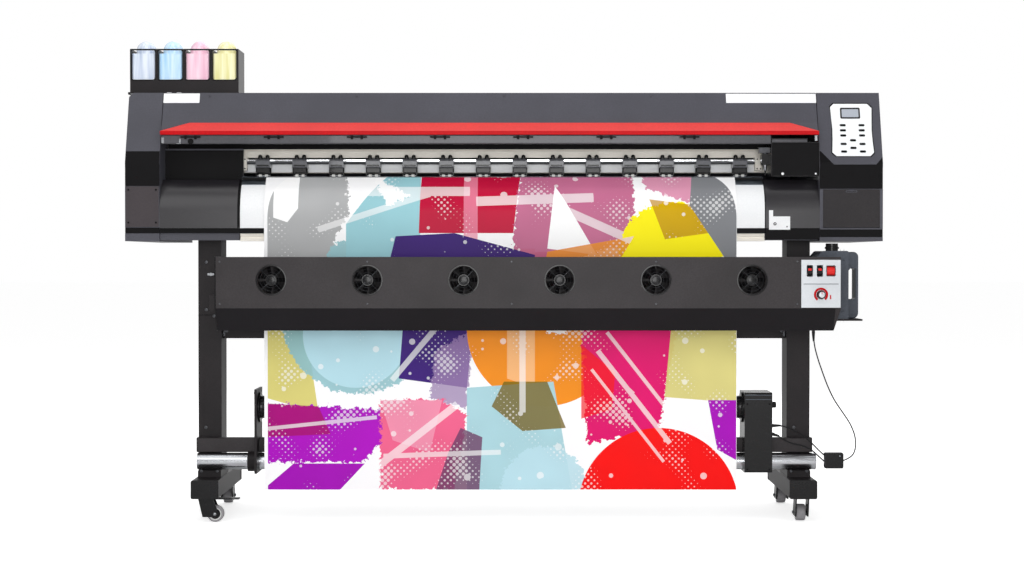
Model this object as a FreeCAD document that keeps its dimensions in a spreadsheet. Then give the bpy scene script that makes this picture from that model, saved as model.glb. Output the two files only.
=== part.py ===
"""Wide-format roll printer and cutter on a castered stand, with a front fan dryer and a take-up.

Millimetres. X runs to the operator's right, -Y is the operator's side and +Z is up. The origin is on the
floor under the middle of the machine.
"""
import FreeCAD, Part
import math
import os
import re

import Sketcher

Vector = FreeCAD.Vector
Rotation = FreeCAD.Rotation

SIZES = {
    # machine body
    "half_width": 1224, "bay_left": 1113, "bay_right": 1020, "body_top": 1397, "body_floor": 937,
    "body_foot": 912, "body_front": 258, "body_rear": 363, "gauge": 3, "slope_run": 73, "slope_foot": 1165,
    "recess_low": 1090, "recess_high": 1160, "strip_top": 954, "top_split": -129, "slot_low": 1078,
    "slot_high": 1138, "slot_half": 860,
    # front nose, apron and platen
    "apron_left": 853, "apron_right": 843, "nose_radius": 130, "nose_foot": 1003, "nose_top": 1113,
    "apron_step": 3, "apron_gauge": 2, "cover_back": 150, "cover_high": 1215, "platen_top": 1122,
    "platen_plate": 8, "platen_front": 197, "platen_rear": 380, "rear_nose": 30, "rear_lip": 20,
    "web_gauge": 6, "web_front": 170, "web_rear": 350, "web_left": 840, "web_right": 830, "web_pitch": 420,
    # rail beam, pinch rollers and feed roller
    "beam_front": 108, "beam_rear": 40, "beam_low": 1140, "beam_high": 1250, "beam_wall": 4,
    "rail_depth": 6, "rail_low": 1189, "rail_high": 1212, "rail_left": 871, "rail_right": 850,
    "bracket_width": 23, "bracket_front": 135, "bracket_low": 1146, "shaft_back": 122, "shaft_height": 1172,
    "shaft_radius": 5, "pinch_first": -791, "pinch_pitch": 120.4, "pinch_width": 48, "pinch_front": 165,
    "block_low": 1154, "block_high": 1183, "bump_radius": 8, "bump_high": 1198, "wheel_line": 150,
    "wheel_height": 1128, "wheel_radius": 5, "wheel_width": 10, "axle_radius": 2, "cheek": 3,
    "feed_radius": 12, "feed_journal": 6, "feed_left": 805, "feed_right": 790,
    # carriage and cutter
    "carriage_left": 865, "carriage_width": 120, "carriage_front": 236, "head_back": 172, "head_low": 1127,
    "head_high": 1216, "carriage_high": 1246, "cutter_width": 28, "cutter_low": 1160, "cutter_high": 1196,
    "cutter_front": 222, "cutter_back": 190, "blade_radius": 3,
    # opening cover, trim and window band
    "hinge_back": -140, "hinge_height": 1391.5, "hinge_radius": 4, "brow_run": 40, "brow_height": 1297,
    "lip_front": 250, "lip_height": 1256, "trim_front": 262, "trim_break": 1268, "mitre": 90,
    "band_back": 243, "band_front": 255, "band_low": 1226, "band_right": 862, "clip_width": 64,
    "clip_first": -1012, "clip_pitch": 268.5,
    # right end: keypad, door, lever
    "keypad_left": 1059, "keypad_right": 1200, "keypad_low": 1184, "keypad_high": 1363, "keypad_sink": 5,
    "display_low": 1318, "display_high": 1346,
    "door_left": 1031, "door_right": 1214, "door_top": 1079, "door_gauge": 3, "door_pin": 1.2,
    "lever_left": 856, "lever_right": 924, "lever_low": 949, "lever_high": 992, "lever_tip": 1012,
    "lever_pivot": 875, "lever_pivot_height": 968, "lever_pin": 4,
    # ink rack and bottles
    "rack_left": 1235, "rack_flare": 6, "rack_front": 120, "rack_depth": 135, "rack_rise": 151,
    "bay_step": 11.2, "bay_room": 3, "bay_first": -1191, "rack_wall": 4, "window_rise": 49,
    "window_room": 1, "bottle_width": 78, "bottle_depth": 110, "bottle_rise": 136, "dome_radius": 33,
    "dome_rise": 149,
    # stand
    "leg_middle": 968, "leg_width": 76, "leg_front": 150, "leg_rear": 40, "leg_wall": 4, "foot_width": 86,
    "foot_low": 80, "foot_high": 137, "foot_front": 265, "foot_rear": 250, "sleeve_high": 186,
    "beam_under": 592, "beam_over": 700, "arm_low": 690, "arm_high": 740, "holder_gauge": 20,
    "holder_half": 25, "roll_back": 330, "roll_height": 760, "roll_radius": 80, "spindle_radius": 12,
    # casters
    "caster_front": 225, "caster_rear": 215, "caster_radius": 27, "caster_width": 30, "caster_trail": 30,
    "fork_gap": 18, "fork_gauge": 4, "fork_top": 79.7, "stem_radius": 6, "caster_axle": 4,
    "pedal_reach": 108,
    # dryer
    "dryer_left": 908, "dryer_right": 1062, "dryer_front": 410, "dryer_back": 310, "dryer_high": 861,
    "dryer_break": 699, "dryer_low": 628, "dryer_chin": 372, "dryer_wall": 3, "fan_first": -733,
    "fan_pitch": 303.2, "fan_height": 788, "mouth_room": 3, "frame_room": 10, "fan_depth": 25,
    "bore_room": 1.5,
    "rotor_radius": 42, "rotor_hub": 18, "fan_pin": 3, "panel_left": 937, "panel_high": 852,
    "panel_gauge": 3, "rocker_height": 817, "rocker_first": 963.5, "rocker_second": 995,
    "rocker_third": 1030,
    "rocker_width": 15, "rocker_radius": 15.7, "square_width": 25, "square_radius": 14.5, "knob_across": 999,
    "knob_height": 742, "knob_radius": 10, "knob_reach": 18, "knob_shaft": 3, "rocker_pin": 1.5,
    "blade_chord": 20, "blade_gauge": 1.6,
    # waste bottle
    "waste_left": 1010, "waste_right": 1148, "waste_front": 296, "waste_back": 130, "waste_low": 662,
    "waste_high": 878, "neck_radius": 20, "neck_high": 906,
    # take-up
    "rail_bottom": 222, "rail_top": 269, "rail_front": 190, "tube_radius": 27.5, "tube_wall": 3,
    "tube_height": 192, "tube_left": 1004, "tube_right": 1020, "slide_left": 809, "slide_gauge": 8,
    "slide_front": 250, "slide_back": 112, "slide_low": 158, "slide_high": 432, "collar": 29,
    "hub_back": 180, "hub_height": 370, "hub_radius": 37.5, "hub_length": 40, "hub_flange": 50,
    "hub_shaft": 8, "drive_left": 780, "drive_right": 870, "drive_front": 245, "drive_low": 161,
    "drive_high": 421, "boss_radius": 5, "lead_front": 232, "lead_high": 313, "lead_back": 226,
    "lead_low": 285, "adapter_left": 1030, "adapter_right": 1090, "adapter_front": 308, "adapter_back": 284,
    "adapter_low": 182, "adapter_high": 232,
    # media and clearances
    "media_left": 775, "media_right": 752, "media_foot": 108, "media_gauge": 0.4, "media_gap": 0.3,
    "running": 0.05, "seat": 0.3, "play": 0.5,
}
PINCH_COUNT = 14
CLIP_COUNT = 7
BOTTLE_COUNT = 4
FAN_COUNT = 6
BLADE_COUNT = 7

doc = FreeCAD.newDocument("roll_printer_cutter")
sheet = doc.addObject("Spreadsheet::Sheet", "sizes")
for row, (alias, number) in enumerate(SIZES.items(), 1):
    sheet.set(f"A{row}", alias)
    sheet.set(f"B{row}", str(number))
    sheet.setAlias(f"B{row}", alias)
doc.recompute()

nodes = {}
WORD = re.compile(r"[a-z]+(?:_[a-z]+)*")


def bound(text):
    """An expression on the sheet's cells, from one written with their aliases alone."""
    return WORD.sub(lambda word: "sizes." + word[0] if word[0] in SIZES else word[0], str(text))


def value(text):
    return float(sheet.evalExpression(bound(text)))


def box(x, y, z):
    """A block from (low, high) along each axis."""
    solid = doc.addObject("Part::Box", "block")
    for side, axis, (low, high) in zip(("Length", "Width", "Height"), "xyz", (x, y, z)):
        solid.setExpression(side, bound(f"({high}) - ({low})"))
        solid.setExpression(f".Placement.Base.{axis}", bound(low))
    return solid


TURN = {"x": Rotation(Vector(0, 1, 0), 90), "y": Rotation(Vector(1, 0, 0), -90), "z": Rotation()}


def rod(axis, radius, span, centre):
    """A cylinder along an axis over span, centred on the two other coordinates in order."""
    solid = doc.addObject("Part::Cylinder", "rod")
    solid.Placement = FreeCAD.Placement(Vector(), TURN[axis])
    solid.setExpression("Radius", bound(radius))
    solid.setExpression("Height", bound(f"({span[1]}) - ({span[0]})"))
    solid.setExpression(f".Placement.Base.{axis}", bound(span[0]))
    for other, place in zip([a for a in "xyz" if a != axis], centre):
        solid.setExpression(f".Placement.Base.{other}", bound(place))
    return solid


def arc_through(start, end, radius):
    """The short arc from start to end; a positive radius has its centre on the left of the way."""
    chord = end - start
    middle = (start + end) / 2
    left = Vector(-chord.y, chord.x, 0).normalize()
    sagitta_side = 1 if radius > 0 else -1
    reach = math.sqrt(radius ** 2 - chord.Length ** 2 / 4)
    centre = middle + left * reach * sagitta_side
    bulge = centre - left * sagitta_side * abs(radius)
    return Part.Arc(start, bulge, end)


PLANE = {"x": "YZ_Plane", "y": "XZ_Plane", "z": "XY_Plane"}


def prism(points, axis, span):
    """A sketched outline padded along an axis. A third value makes the way to the next point an arc."""
    body = doc.addObject("PartDesign::Body", "prism")
    sketch = body.newObject("Sketcher::SketchObject", "outline")
    plane = [o for o in body.Origin.OriginFeatures if o.Role == PLANE[axis]][0]
    sketch.AttachmentSupport = [(plane, "")]
    sketch.MapMode = "FlatFace"
    corners = [Vector(value(p[0]), value(p[1]), 0) for p in points]
    count = len(points)
    for i, point in enumerate(points):
        start, end = corners[i], corners[(i + 1) % count]
        if len(point) == 3:
            sketch.addGeometry(arc_through(start, end, value(point[2])), False)
        else:
            sketch.addGeometry(Part.LineSegment(start, end), False)
    first = {}
    for i, point in enumerate(points):
        arc = len(point) == 3
        turned = arc and value(point[2]) < 0
        first[i] = (2, 1) if turned else (1, 2)
    for i in range(count):
        sketch.addConstraint(Sketcher.Constraint("Coincident", i, first[i][1], (i + 1) % count,
                                                 first[(i + 1) % count][0]))
    for i, point in enumerate(points):
        for kind, text, number in (("DistanceX", point[0], corners[i].x),
                                   ("DistanceY", point[1], corners[i].y)):
            index = sketch.addConstraint(Sketcher.Constraint(kind, -1, 1, i, first[i][0], number))
            sketch.setExpression(f"Constraints[{index}]", bound(text))
        if len(point) == 3:
            radius = abs(value(point[2]))
            index = sketch.addConstraint(Sketcher.Constraint("Radius", i, radius))
            sketch.setExpression(f"Constraints[{index}]", bound(f"abs({point[2]})"))
    pad = body.newObject("PartDesign::Pad", "pad")
    pad.Profile = sketch
    pad.setExpression("Length", bound(f"({span[1]}) - ({span[0]})"))
    body.setExpression(f".Placement.Base.{axis}", bound(span[1] if axis == "y" else span[0]))
    return body


def fuse(*pieces):
    solid = doc.addObject("Part::MultiFuse", "joined")
    solid.Shapes = list(pieces)
    return solid


def group(*pieces):
    solid = doc.addObject("Part::Compound", "group")
    solid.Links = list(pieces)
    return solid


def cut(base, *tools):
    solid = doc.addObject("Part::Cut", "cut")
    solid.Base = base
    solid.Tool = tools[0] if len(tools) == 1 else fuse(*tools)
    return solid


def common(one, other):
    solid = doc.addObject("Part::Common", "common")
    solid.Base = one
    solid.Tool = other
    return solid


def rounded(base, radius, axis):
    """The base with every straight edge that runs along an axis rounded."""
    doc.recompute()
    way = {"x": Vector(1, 0, 0), "y": Vector(0, 1, 0), "z": Vector(0, 0, 1)}[axis]
    picked = [i for i, edge in enumerate(base.Shape.Edges, 1)
              if edge.Curve.TypeId == "Part::GeomLine" and abs(edge.Curve.Direction * way) > 0.999]
    solid = doc.addObject("Part::Fillet", "rounded")
    solid.Base = base
    solid.Edges = [(i, radius, radius) for i in picked]
    return solid


def node(label, solid):
    solid.Label = label
    nodes[label] = solid
    return solid


# --- machine body -----------------------------------------------------------------------------------------

def body_shell():
    """Floor pan with its front flange, back wall and rear top in one bent sheet, and two base strips."""
    across = ("-bay_left", "bay_right")
    sheet_metal = prism([
        ("-body_front + 6", "body_floor"), ("body_rear", "body_floor"), ("body_rear", "body_top"),
        ("top_split", "body_top"), ("top_split", "body_top - gauge"),
        ("body_rear - gauge", "body_top - gauge"),
        ("body_rear - gauge", "body_floor + gauge"), ("-body_front + 6 + gauge", "body_floor + gauge"),
        ("-body_front + 6 + gauge", "strip_top"), ("-body_front + 6", "strip_top")], "x", across)
    slot = box(("-slot_half", "slot_half"), ("body_rear - 20", "body_rear + 20"), ("slot_low", "slot_high"))
    strips = [box(x, ("-body_front + 8", "-body_front + 43"), ("body_foot + 3", "body_floor"))
              for x in (("-bay_left", "-apron_left - gauge"), ("apron_right + gauge", "bay_right"))]
    node("body_shell", fuse(cut(sheet_metal, slot), *strips))


def front_extrusion():
    bar = box(("-apron_left", "apron_right"), ("-body_front + 8", "-body_front + 43"),
              ("body_foot", "body_floor"))
    groove = box(("-apron_left - 1", "apron_right + 1"), ("-body_front", "-body_front + 12"),
                 ("body_foot + 9", "body_foot + 17"))
    node("front_extrusion", cut(bar, groove))


def housing_outline(inset, front_inset):
    """The end housings' side view: upright front below, sloped front above."""
    top = f"body_top - {inset}"
    front = f"-body_front + {front_inset}"
    return [(f"-body_front + slope_run + {front_inset}", top), (front, "slope_foot"),
            (front, f"body_foot + {inset}"), (f"body_rear - {inset}", f"body_foot + {inset}"),
            (f"body_rear - {inset}", top)]


def end_housing_left():
    outer = prism(housing_outline("0", "0"), "x", ("-half_width", "-bay_left"))
    inner = prism(housing_outline("gauge", "12"), "x", ("-half_width + gauge", "-bay_left - gauge"))
    band = box(("-half_width - 1", "-bay_left + 1"), ("-body_front - 1", "-body_front + 6"),
               ("recess_low", "recess_high"))
    seam = box(("-half_width - 1", "-bay_left + 1"), ("-body_front - 1", "-body_front + 4"),
               ("body_floor", "strip_top + 2"))
    hinge = rod("x", "hinge_radius + running", ("-bay_left - 20", "-bay_left + 1"),
                ("hinge_back", "hinge_height"))
    corner = prism([("-half_width", "body_top - 14"), ("-half_width", "body_top"),
                    ("-half_width + 14", "body_top")], "y", ("-body_front - 1", "body_rear + 1"))
    node("end_housing_left", cut(outer, inner, band, seam, hinge, corner))


def slope_y(height, sink):
    """The Y of the sloped face at a height, sunk by a depth along Y."""
    return f"-body_front + slope_run * (({height}) - slope_foot) / (body_top - slope_foot) + {sink}"


def slope_slab(low, high, near, far, span):
    """A slab that lies along the sloped face, between two depths under it."""
    return prism([(slope_y(high, near), high), (slope_y(low, near), low), (slope_y(low, far), low),
                  (slope_y(high, far), high)], "x", span)


def end_housing_right():
    across = ("bay_right", "half_width")
    outer = prism(housing_outline("0", "0"), "x", across)
    inner = prism(housing_outline("gauge", "16"), "x", ("bay_right + gauge", "half_width - gauge"))
    recess = slope_slab("keypad_low", "keypad_high", "-1", "keypad_sink", ("keypad_left", "keypad_right"))
    band = box(("bay_right - 1", "half_width + 1"), ("-body_front - 1", "-body_front + 8"),
               ("door_top + 2", "recess_high - 10"))
    seam = box(("bay_right - 1", "half_width + 1"), ("-body_front - 1", "-body_front + 4"),
               ("body_floor - 12", "strip_top - 4"))
    pocket = box(("door_left - play", "door_right + play"), ("-body_front - 1", "-body_front + 10"),
                 ("strip_top", "door_top + play"))
    pins = rod("x", "door_pin + running", ("door_left - 6", "door_right + 6"),
               ("-body_front + 1.5", "strip_top + 4"))
    hinge = rod("x", "hinge_radius + running", ("bay_right - 1", "bay_right + 20"),
                ("hinge_back", "hinge_height"))
    node("end_housing_right", cut(outer, inner, recess, band, seam, pocket, pins, hinge))


def control_panel():
    """Keypad plate in its recess, with the display window sunk into it."""
    plate = slope_slab("keypad_low + seat", "keypad_high - seat", "1", "keypad_sink",
                       ("keypad_left + seat", "keypad_right - seat"))
    display = slope_slab("display_low", "display_high", "0", "2.4",
                         ("keypad_left + 44", "keypad_right - 40"))
    node("control_panel", cut(plate, display))


def nose_sheet(step, thickness, span, rest):
    """Upright front, nose arc and top flange in one sheet; rest adds what follows the arc outside."""
    radius = f"nose_radius - {step}"
    centre = "-body_front + nose_radius"
    rise = "(nose_top - nose_foot)"
    outer_top = f"{centre} - sqrt(({radius})^2 - {rise}^2)"
    inner_top = f"{centre} - sqrt(({radius} - {thickness})^2 - ({rise} - {thickness})^2)"
    front = f"-body_front + {step}"
    outside, inside = rest
    return prism([("-body_front + 20", "strip_top"), ("-body_front + 20", f"strip_top + {thickness}"),
                  (f"{front} + {thickness}", f"strip_top + {thickness}"),
                  (f"{front} + {thickness}", "nose_foot", f"-({radius} - {thickness})"),
                  (inner_top, f"nose_top - {thickness}")] + inside + outside
                 + [(outer_top, "nose_top", radius), (front, "nose_foot"), (front, "strip_top")], "x", span)


def inner_covers():
    """The fixed covers on both sides of the media window."""
    upright = ([("-cover_back", "cover_high"), ("-cover_back", "nose_top")],
               [("-cover_back + gauge", "nose_top - gauge"), ("-cover_back + gauge", "cover_high")])
    node("inner_cover_left", nose_sheet("0", "gauge", ("-bay_left", "-apron_left - gauge"), upright))
    level = ([("-cover_back", "nose_top")], [("-cover_back", "nose_top - gauge")])
    nose = nose_sheet("0", "gauge", ("apron_right + gauge", "bay_right"), level)
    screen = box(("carriage_left + seat", "bay_right"), ("-body_front + 9", "-body_front + 9 + gauge"),
                 ("platen_top", "band_low + 6"))
    web = box(("bay_right - gauge", "bay_right"), ("-body_front + 9", "-cover_back"),
              ("nose_top - gauge", "band_low + 6"))
    pivot = rod("y", "lever_pin + running", ("-body_front - 1", "-body_front + 8"),
                ("lever_pivot", "lever_pivot_height"))
    node("inner_cover_right", cut(fuse(nose, screen, web), pivot))


def apron():
    flange = ([("-web_front - 2", "nose_top")], [("-web_front - 2", "nose_top - apron_gauge")])
    node("apron", nose_sheet("apron_step", "apron_gauge", ("-apron_left", "apron_right"), flange))


def platen():
    """Bed plate with a rolled rear edge, on webs that stand on the floor pan and carry the feed roller."""
    under = "platen_top - platen_plate"
    deck = prism([("-platen_front", under), ("platen_rear", under, "-(rear_nose - platen_plate)"),
                  ("platen_rear + rear_nose - platen_plate", "platen_top - rear_nose"),
                  ("platen_rear + rear_nose - platen_plate", "platen_top - rear_nose - rear_lip"),
                  ("platen_rear + rear_nose", "platen_top - rear_nose - rear_lip"),
                  ("platen_rear + rear_nose", "platen_top - rear_nose", "rear_nose"),
                  ("platen_rear", "platen_top"), ("-platen_front", "platen_top")],
                 "x", ("-apron_left", "apron_right"))
    slot = box(("-feed_left - play", "feed_right + play"), ("-wheel_line - feed_radius - 1",
               "-wheel_line + feed_radius + 1"), (f"{under} - 1", "platen_top + 1"))
    groove = box(("-apron_left + 20", "apron_right - 20"), ("-platen_front + 8", "-platen_front + 12"),
                 ("platen_top - 1", "platen_top + 1"))
    places = ["-web_left", "-web_pitch", "0", "web_pitch", "web_right"]
    webs = [box((f"{x} - web_gauge / 2", f"{x} + web_gauge / 2"), ("-web_front", "web_rear"),
                ("body_floor + gauge", under)) for x in places]
    feed = ("-wheel_line", "platen_top - feed_radius - play")
    bearing = rod("x", "feed_journal + running", ("-apron_left", "apron_right"), feed)
    passage = rod("x", "feed_radius + 2", ("-web_left + 20", "web_right - 20"), feed)
    node("platen", cut(fuse(deck, *webs), slot, groove, bearing, passage))
    roll = rod("x", "feed_radius", ("-feed_left", "feed_right"), feed)
    journal = rod("x", "feed_journal", ("-web_left - 6", "web_right + 6"), feed)
    node("feed_roller", fuse(roll, journal))


# --- rail, pinch rollers, carriage ------------------------------------------------------------------------

def rail_beam():
    """Box beam between the end housings, with the carriage rail and the pinch shaft's end brackets."""
    outer = box(("-bay_left", "bay_right"), ("-beam_front", "-beam_rear"), ("beam_low", "beam_high"))
    inner = box(("-bay_left - 1", "bay_right + 1"), ("-beam_front + beam_wall", "-beam_rear - beam_wall"),
                ("beam_low + beam_wall", "beam_high - beam_wall"))
    rail = box(("-rail_left", "rail_right"), ("-beam_front - rail_depth", "-beam_front"),
               ("rail_low", "rail_high"))
    ends = [box(x, ("-bracket_front", "-beam_front"), ("bracket_low", "rail_low"))
            for x in (("-rail_left", "-rail_left + bracket_width"),
                      ("rail_right - bracket_width", "rail_right"))]
    bore = rod("x", "shaft_radius + running", ("-rail_left - 1", "rail_right + 1"),
               ("-shaft_back", "shaft_height"))
    node("rail_beam", cut(fuse(cut(outer, inner), rail, *ends), bore))


def pinch_rollers():
    """Pressure arms on one lift shaft, and the small wheels that they carry."""
    arms = [rod("x", "shaft_radius", ("-rail_left + 3", "rail_right - 3"), ("-shaft_back", "shaft_height"))]
    wheels = []
    for i in range(PINCH_COUNT):
        x = f"pinch_first + {i} * pinch_pitch"
        low, high = f"{x} - pinch_width / 2", f"{x} + pinch_width / 2"
        arms.append(box((low, high), ("-pinch_front", "-beam_front - 4"), ("block_low", "block_high")))
        arms.append(box((low, high), ("-wheel_line - 8", "-beam_front - 22"),
                        ("wheel_height + wheel_radius + 4", "block_low")))
        for side in (-1, 1):
            arms.append(rod("z", "bump_radius", ("block_high - 2", "bump_high"),
                            (f"{x} + {side} * 12", "-wheel_line + 12")))
            outer = f"{x} + {side} * (pinch_width - cheek) / 2"
            arms.append(box((f"{outer} - cheek / 2", f"{outer} + cheek / 2"),
                            ("-wheel_line - 8", "-wheel_line + 8"),
                            ("wheel_height - 3.5", "block_low")))
        treads = [rod("x", "wheel_radius", (f"{x} + {side} * 10 - wheel_width / 2",
                  f"{x} + {side} * 10 + wheel_width / 2"),
                  ("-wheel_line", "wheel_height")) for side in (-1, 1)]
        axle = rod("x", "axle_radius", (f"{low} + 0.5", f"{high} - 0.5"), ("-wheel_line", "wheel_height"))
        wheels.append(fuse(axle, *treads))
    bore = rod("x", "axle_radius + running", ("-rail_left", "rail_right"), ("-wheel_line", "wheel_height"))
    node("pinch_arms", cut(fuse(*arms), bore))
    node("pinch_wheels", group(*wheels))


def carriage():
    """Print carriage hooked over the rail, and the cutter holder on its left side."""
    across = ("carriage_left", "carriage_left + carriage_width")
    rail_face = "-beam_front - rail_depth"
    heads = box(across, ("-carriage_front", "-head_back"), ("head_low", "head_high"))
    bridge = box(across, ("-carriage_front", f"{rail_face} - seat"), ("head_high", "carriage_high"))
    hook = box(across, (f"{rail_face} - seat - 7", f"{rail_face} - seat"), ("rail_low", "head_high"))
    lip = box(across, (f"{rail_face} - seat", "-beam_front - seat"), ("rail_high + seat", "head_high"))
    node("carriage", rounded(fuse(heads, bridge, hook, lip), 1.5, "z"))
    holder = rounded(box(("carriage_left - seat - cutter_width", "carriage_left - seat"),
                         ("-cutter_front", "-cutter_back"), ("cutter_low", "cutter_high")), 5, "y")
    blade = rod("z", "blade_radius", ("head_low", "cutter_low + 1"),
                ("carriage_left - seat - cutter_width / 2", "-(cutter_front + cutter_back) / 2"))
    node("cutter_holder", fuse(holder, blade))


# --- opening cover ----------------------------------------------------------------------------------------

def opening_cover():
    """Bent cover hinged at its rear edge, the mitred trim along its brow and the band under it."""
    across = ("-bay_left + gauge", "bay_right - gauge")
    brow = "-body_front + slope_run - brow_run"
    shell = prism([
        ("top_split - 6", "body_top"), ("-body_front + slope_run", "body_top"), (brow, "brow_height"),
        ("-lip_front", "lip_height"), ("-lip_front + gauge", "lip_height"),
        (f"{brow} + gauge", "brow_height"),
        ("-body_front + slope_run + gauge", "body_top - gauge"), ("top_split - 6", "body_top - gauge")],
        "x", across)
    pins = [rod("x", "hinge_radius", x, ("hinge_back", "hinge_height"))
            for x in (("-bay_left - gauge", "-bay_left + 60"), ("bay_right - 60", "bay_right + gauge"))]
    node("top_cover", fuse(shell, *pins))
    trim = prism([(brow, "brow_height"), ("-trim_front", "trim_break"), ("-trim_front", "lip_height"),
                  ("-lip_front", "lip_height")], "x", across)
    ends = [prism([(f"{side} - {way} * 1", "trim_break"), (f"{side} - {way} * 1", "brow_height + 1"),
                   (f"{side} + {way} * mitre", "brow_height + 1"),
                   (f"{side} + {way} * mitre", "brow_height"),
                   (side, "trim_break")], "y", ("-trim_front - 1", f"{brow} + 9"))
            for side, way in ((across[0], 1), (across[1], -1))]
    node("cover_trim", cut(trim, *ends))
    band = rounded(box(("-bay_left + 6", "band_right"), ("-band_front", "-band_back"),
                       ("band_low", "lip_height")), 4, "x")
    clips = [box((f"clip_first + {i} * clip_pitch - clip_width / 2",
                  f"clip_first + {i} * clip_pitch + clip_width / 2"),
                 ("-band_front - 3", "-band_front + 1"), ("lip_height - 12", "lip_height - 4"))
             for i in range(CLIP_COUNT)]
    seat = box(("-bay_left + 12", "band_right - 6"), ("-lip_front", "-lip_front + gauge"),
               ("lip_height - 6", "lip_height"))
    node("cover_window", fuse(band, seat, *clips))


def right_door():
    """Service door in its pocket, hinged on two pins at its foot, with a finger notch at its top."""
    plate = box(("door_left", "door_right"), ("-body_front", "-body_front + door_gauge"),
                ("strip_top + 2.5", "door_top"))
    notch = rod("y", "9", ("-body_front - 1", "-body_front + door_gauge + 1"),
                ("(door_left + door_right) / 2", "door_top + 2"))
    pins = rod("x", "door_pin", ("door_left - 5", "door_right + 5"), ("-body_front + 1.5", "strip_top + 4"))
    node("right_door", fuse(cut(plate, notch), pins))


def lift_lever():
    """Flat lever on the right cover that lifts the pinch shaft."""
    layer = ("-body_front - play - gauge", "-body_front - play")
    plate = box(("lever_left", "lever_right"), layer, ("lever_low", "lever_high"))
    tip = box(("lever_left", "lever_left + 13"), layer, ("lever_high - 1", "lever_tip"))
    eye = rod("y", "2.5", ("-body_front - play - gauge - 1", "-body_front"),
              ("lever_right - 10", "lever_low + 10"))
    pin = rod("y", "lever_pin", ("-body_front - play - gauge - 2", "-body_front + 7"),
              ("lever_pivot", "lever_pivot_height"))
    node("lift_lever", fuse(cut(fuse(plate, tip), eye), pin))


# --- ink ---------------------------------------------------------------------------------------------------

def ink_rack():
    """Open-topped rack of four bays with a window in front of each, and the bottles that drop in."""
    pitch, top, shoulder = "(bottle_width + bay_step)", "(body_top + rack_rise)", "(body_top + bottle_rise)"
    crown = "body_top + dome_rise"
    right = f"bay_first + {BOTTLE_COUNT - 0.5} * {pitch}"
    outer = box(("-rack_left", f"{right} + 2"), ("-rack_front", "-rack_front + rack_depth"),
                ("body_top", top))
    base = box(("-rack_left - rack_flare", f"{right} + 4"), ("-rack_front - 4", "-rack_front + rack_depth"),
               ("body_top", "body_top + 8"))
    tools = []
    for i in range(BOTTLE_COUNT):
        x = f"bay_first + {i} * {pitch}"
        bay, window = "(bottle_width + bay_room) / 2", "(bottle_width + window_room) / 2"
        back = "-rack_front + rack_wall + bottle_depth + 2 * play"
        tools.append(box((f"{x} - {bay}", f"{x} + {bay}"), ("-rack_front + rack_wall", back),
                         ("body_top + 12", f"{top} + 1")))
        tools.append(box((f"{x} - {window}", f"{x} + {window}"),
                         ("-rack_front - 5", "-rack_front + rack_wall + 1"),
                         ("body_top + window_rise", f"{top} - 5")))
        front = "-rack_front + rack_wall + play"
        flask = rounded(box((f"{x} - bottle_width / 2", f"{x} + bottle_width / 2"),
                            (front, f"{front} + bottle_depth"), ("body_top + 12 + seat", shoulder)), 9, "z")
        neck = rod("z", "dome_radius", (f"{shoulder} - 1", crown), (x, f"{front} + bottle_depth / 2"))
        dome = doc.addObject("Part::Sphere", "dome")
        dome.setExpression("Radius", bound("dome_radius"))
        for axis, text in zip("xyz", (x, f"{front} + bottle_depth / 2", crown)):
            dome.setExpression(f".Placement.Base.{axis}", bound(text))
        node(f"ink_bottle_{i + 1}", fuse(flask, neck, dome))
    node("ink_rack", cut(fuse(outer, base), *tools))


# --- stand -------------------------------------------------------------------------------------------------

def stand_side(label, side):
    """Leg, foot and rear roll holder of one side; the right one also carries the waste bottle's tray."""
    middle = f"{side} * leg_middle"
    def beside(half):
        return (f"{middle} - {half}", f"{middle} + {half}")
    leg = box(beside("leg_width / 2"), ("-leg_front", "-leg_rear"), ("foot_high", "body_floor"))
    bore = box(beside("(leg_width / 2 - leg_wall)"), ("-leg_front + leg_wall", "-leg_rear - leg_wall"),
               ("foot_high + leg_wall", "body_floor - leg_wall"))
    sleeve = box(beside("leg_width / 2"), ("-leg_front - 20", "-leg_rear + 30"),
                 ("foot_high", "sleeve_high"))
    sleeve = cut(sleeve, box(beside("leg_width"), ("-leg_front - 21", "-leg_front"),
                             ("tube_height - tube_radius - 4",
                                                                                    "sleeve_high + 1")))
    foot = box(beside("foot_width / 2"), ("-foot_front", "foot_rear"), ("foot_low", "foot_high"))
    hollow = box(beside("(foot_width / 2 - leg_wall)"), ("-foot_front + leg_wall", "foot_rear - leg_wall"),
                 ("foot_low + leg_wall", "foot_high - leg_wall"))
    holder_mid = f"{side} * (leg_middle - leg_width / 2 + 26)"
    holder = box((f"{holder_mid} - holder_gauge / 2", f"{holder_mid} + holder_gauge / 2"),
                 ("-leg_rear", "roll_back + holder_half"),
                 ("roll_height - holder_half", "roll_height + holder_half"))
    eye = rod("x", "spindle_radius + running", (f"{holder_mid} - holder_gauge",
                                                f"{holder_mid} + holder_gauge"),
              ("roll_back", "roll_height"))
    stems = [rod("z", "stem_radius + running", ("foot_low - 1", "foot_low + leg_wall + 1"), (middle, y))
             for y in ("-caster_front", "caster_rear")]
    pieces = [cut(leg, bore), sleeve, cut(foot, hollow), holder]
    if side > 0:
        shelf = ("leg_middle + leg_width / 2", "waste_right + 4")
        pieces.append(box(shelf, ("-waste_front - 4", "-waste_back + 4"),
                          ("waste_low - seat - 6", "waste_low - seat")))
    node(label, cut(fuse(*pieces), eye, *stems))


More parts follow.
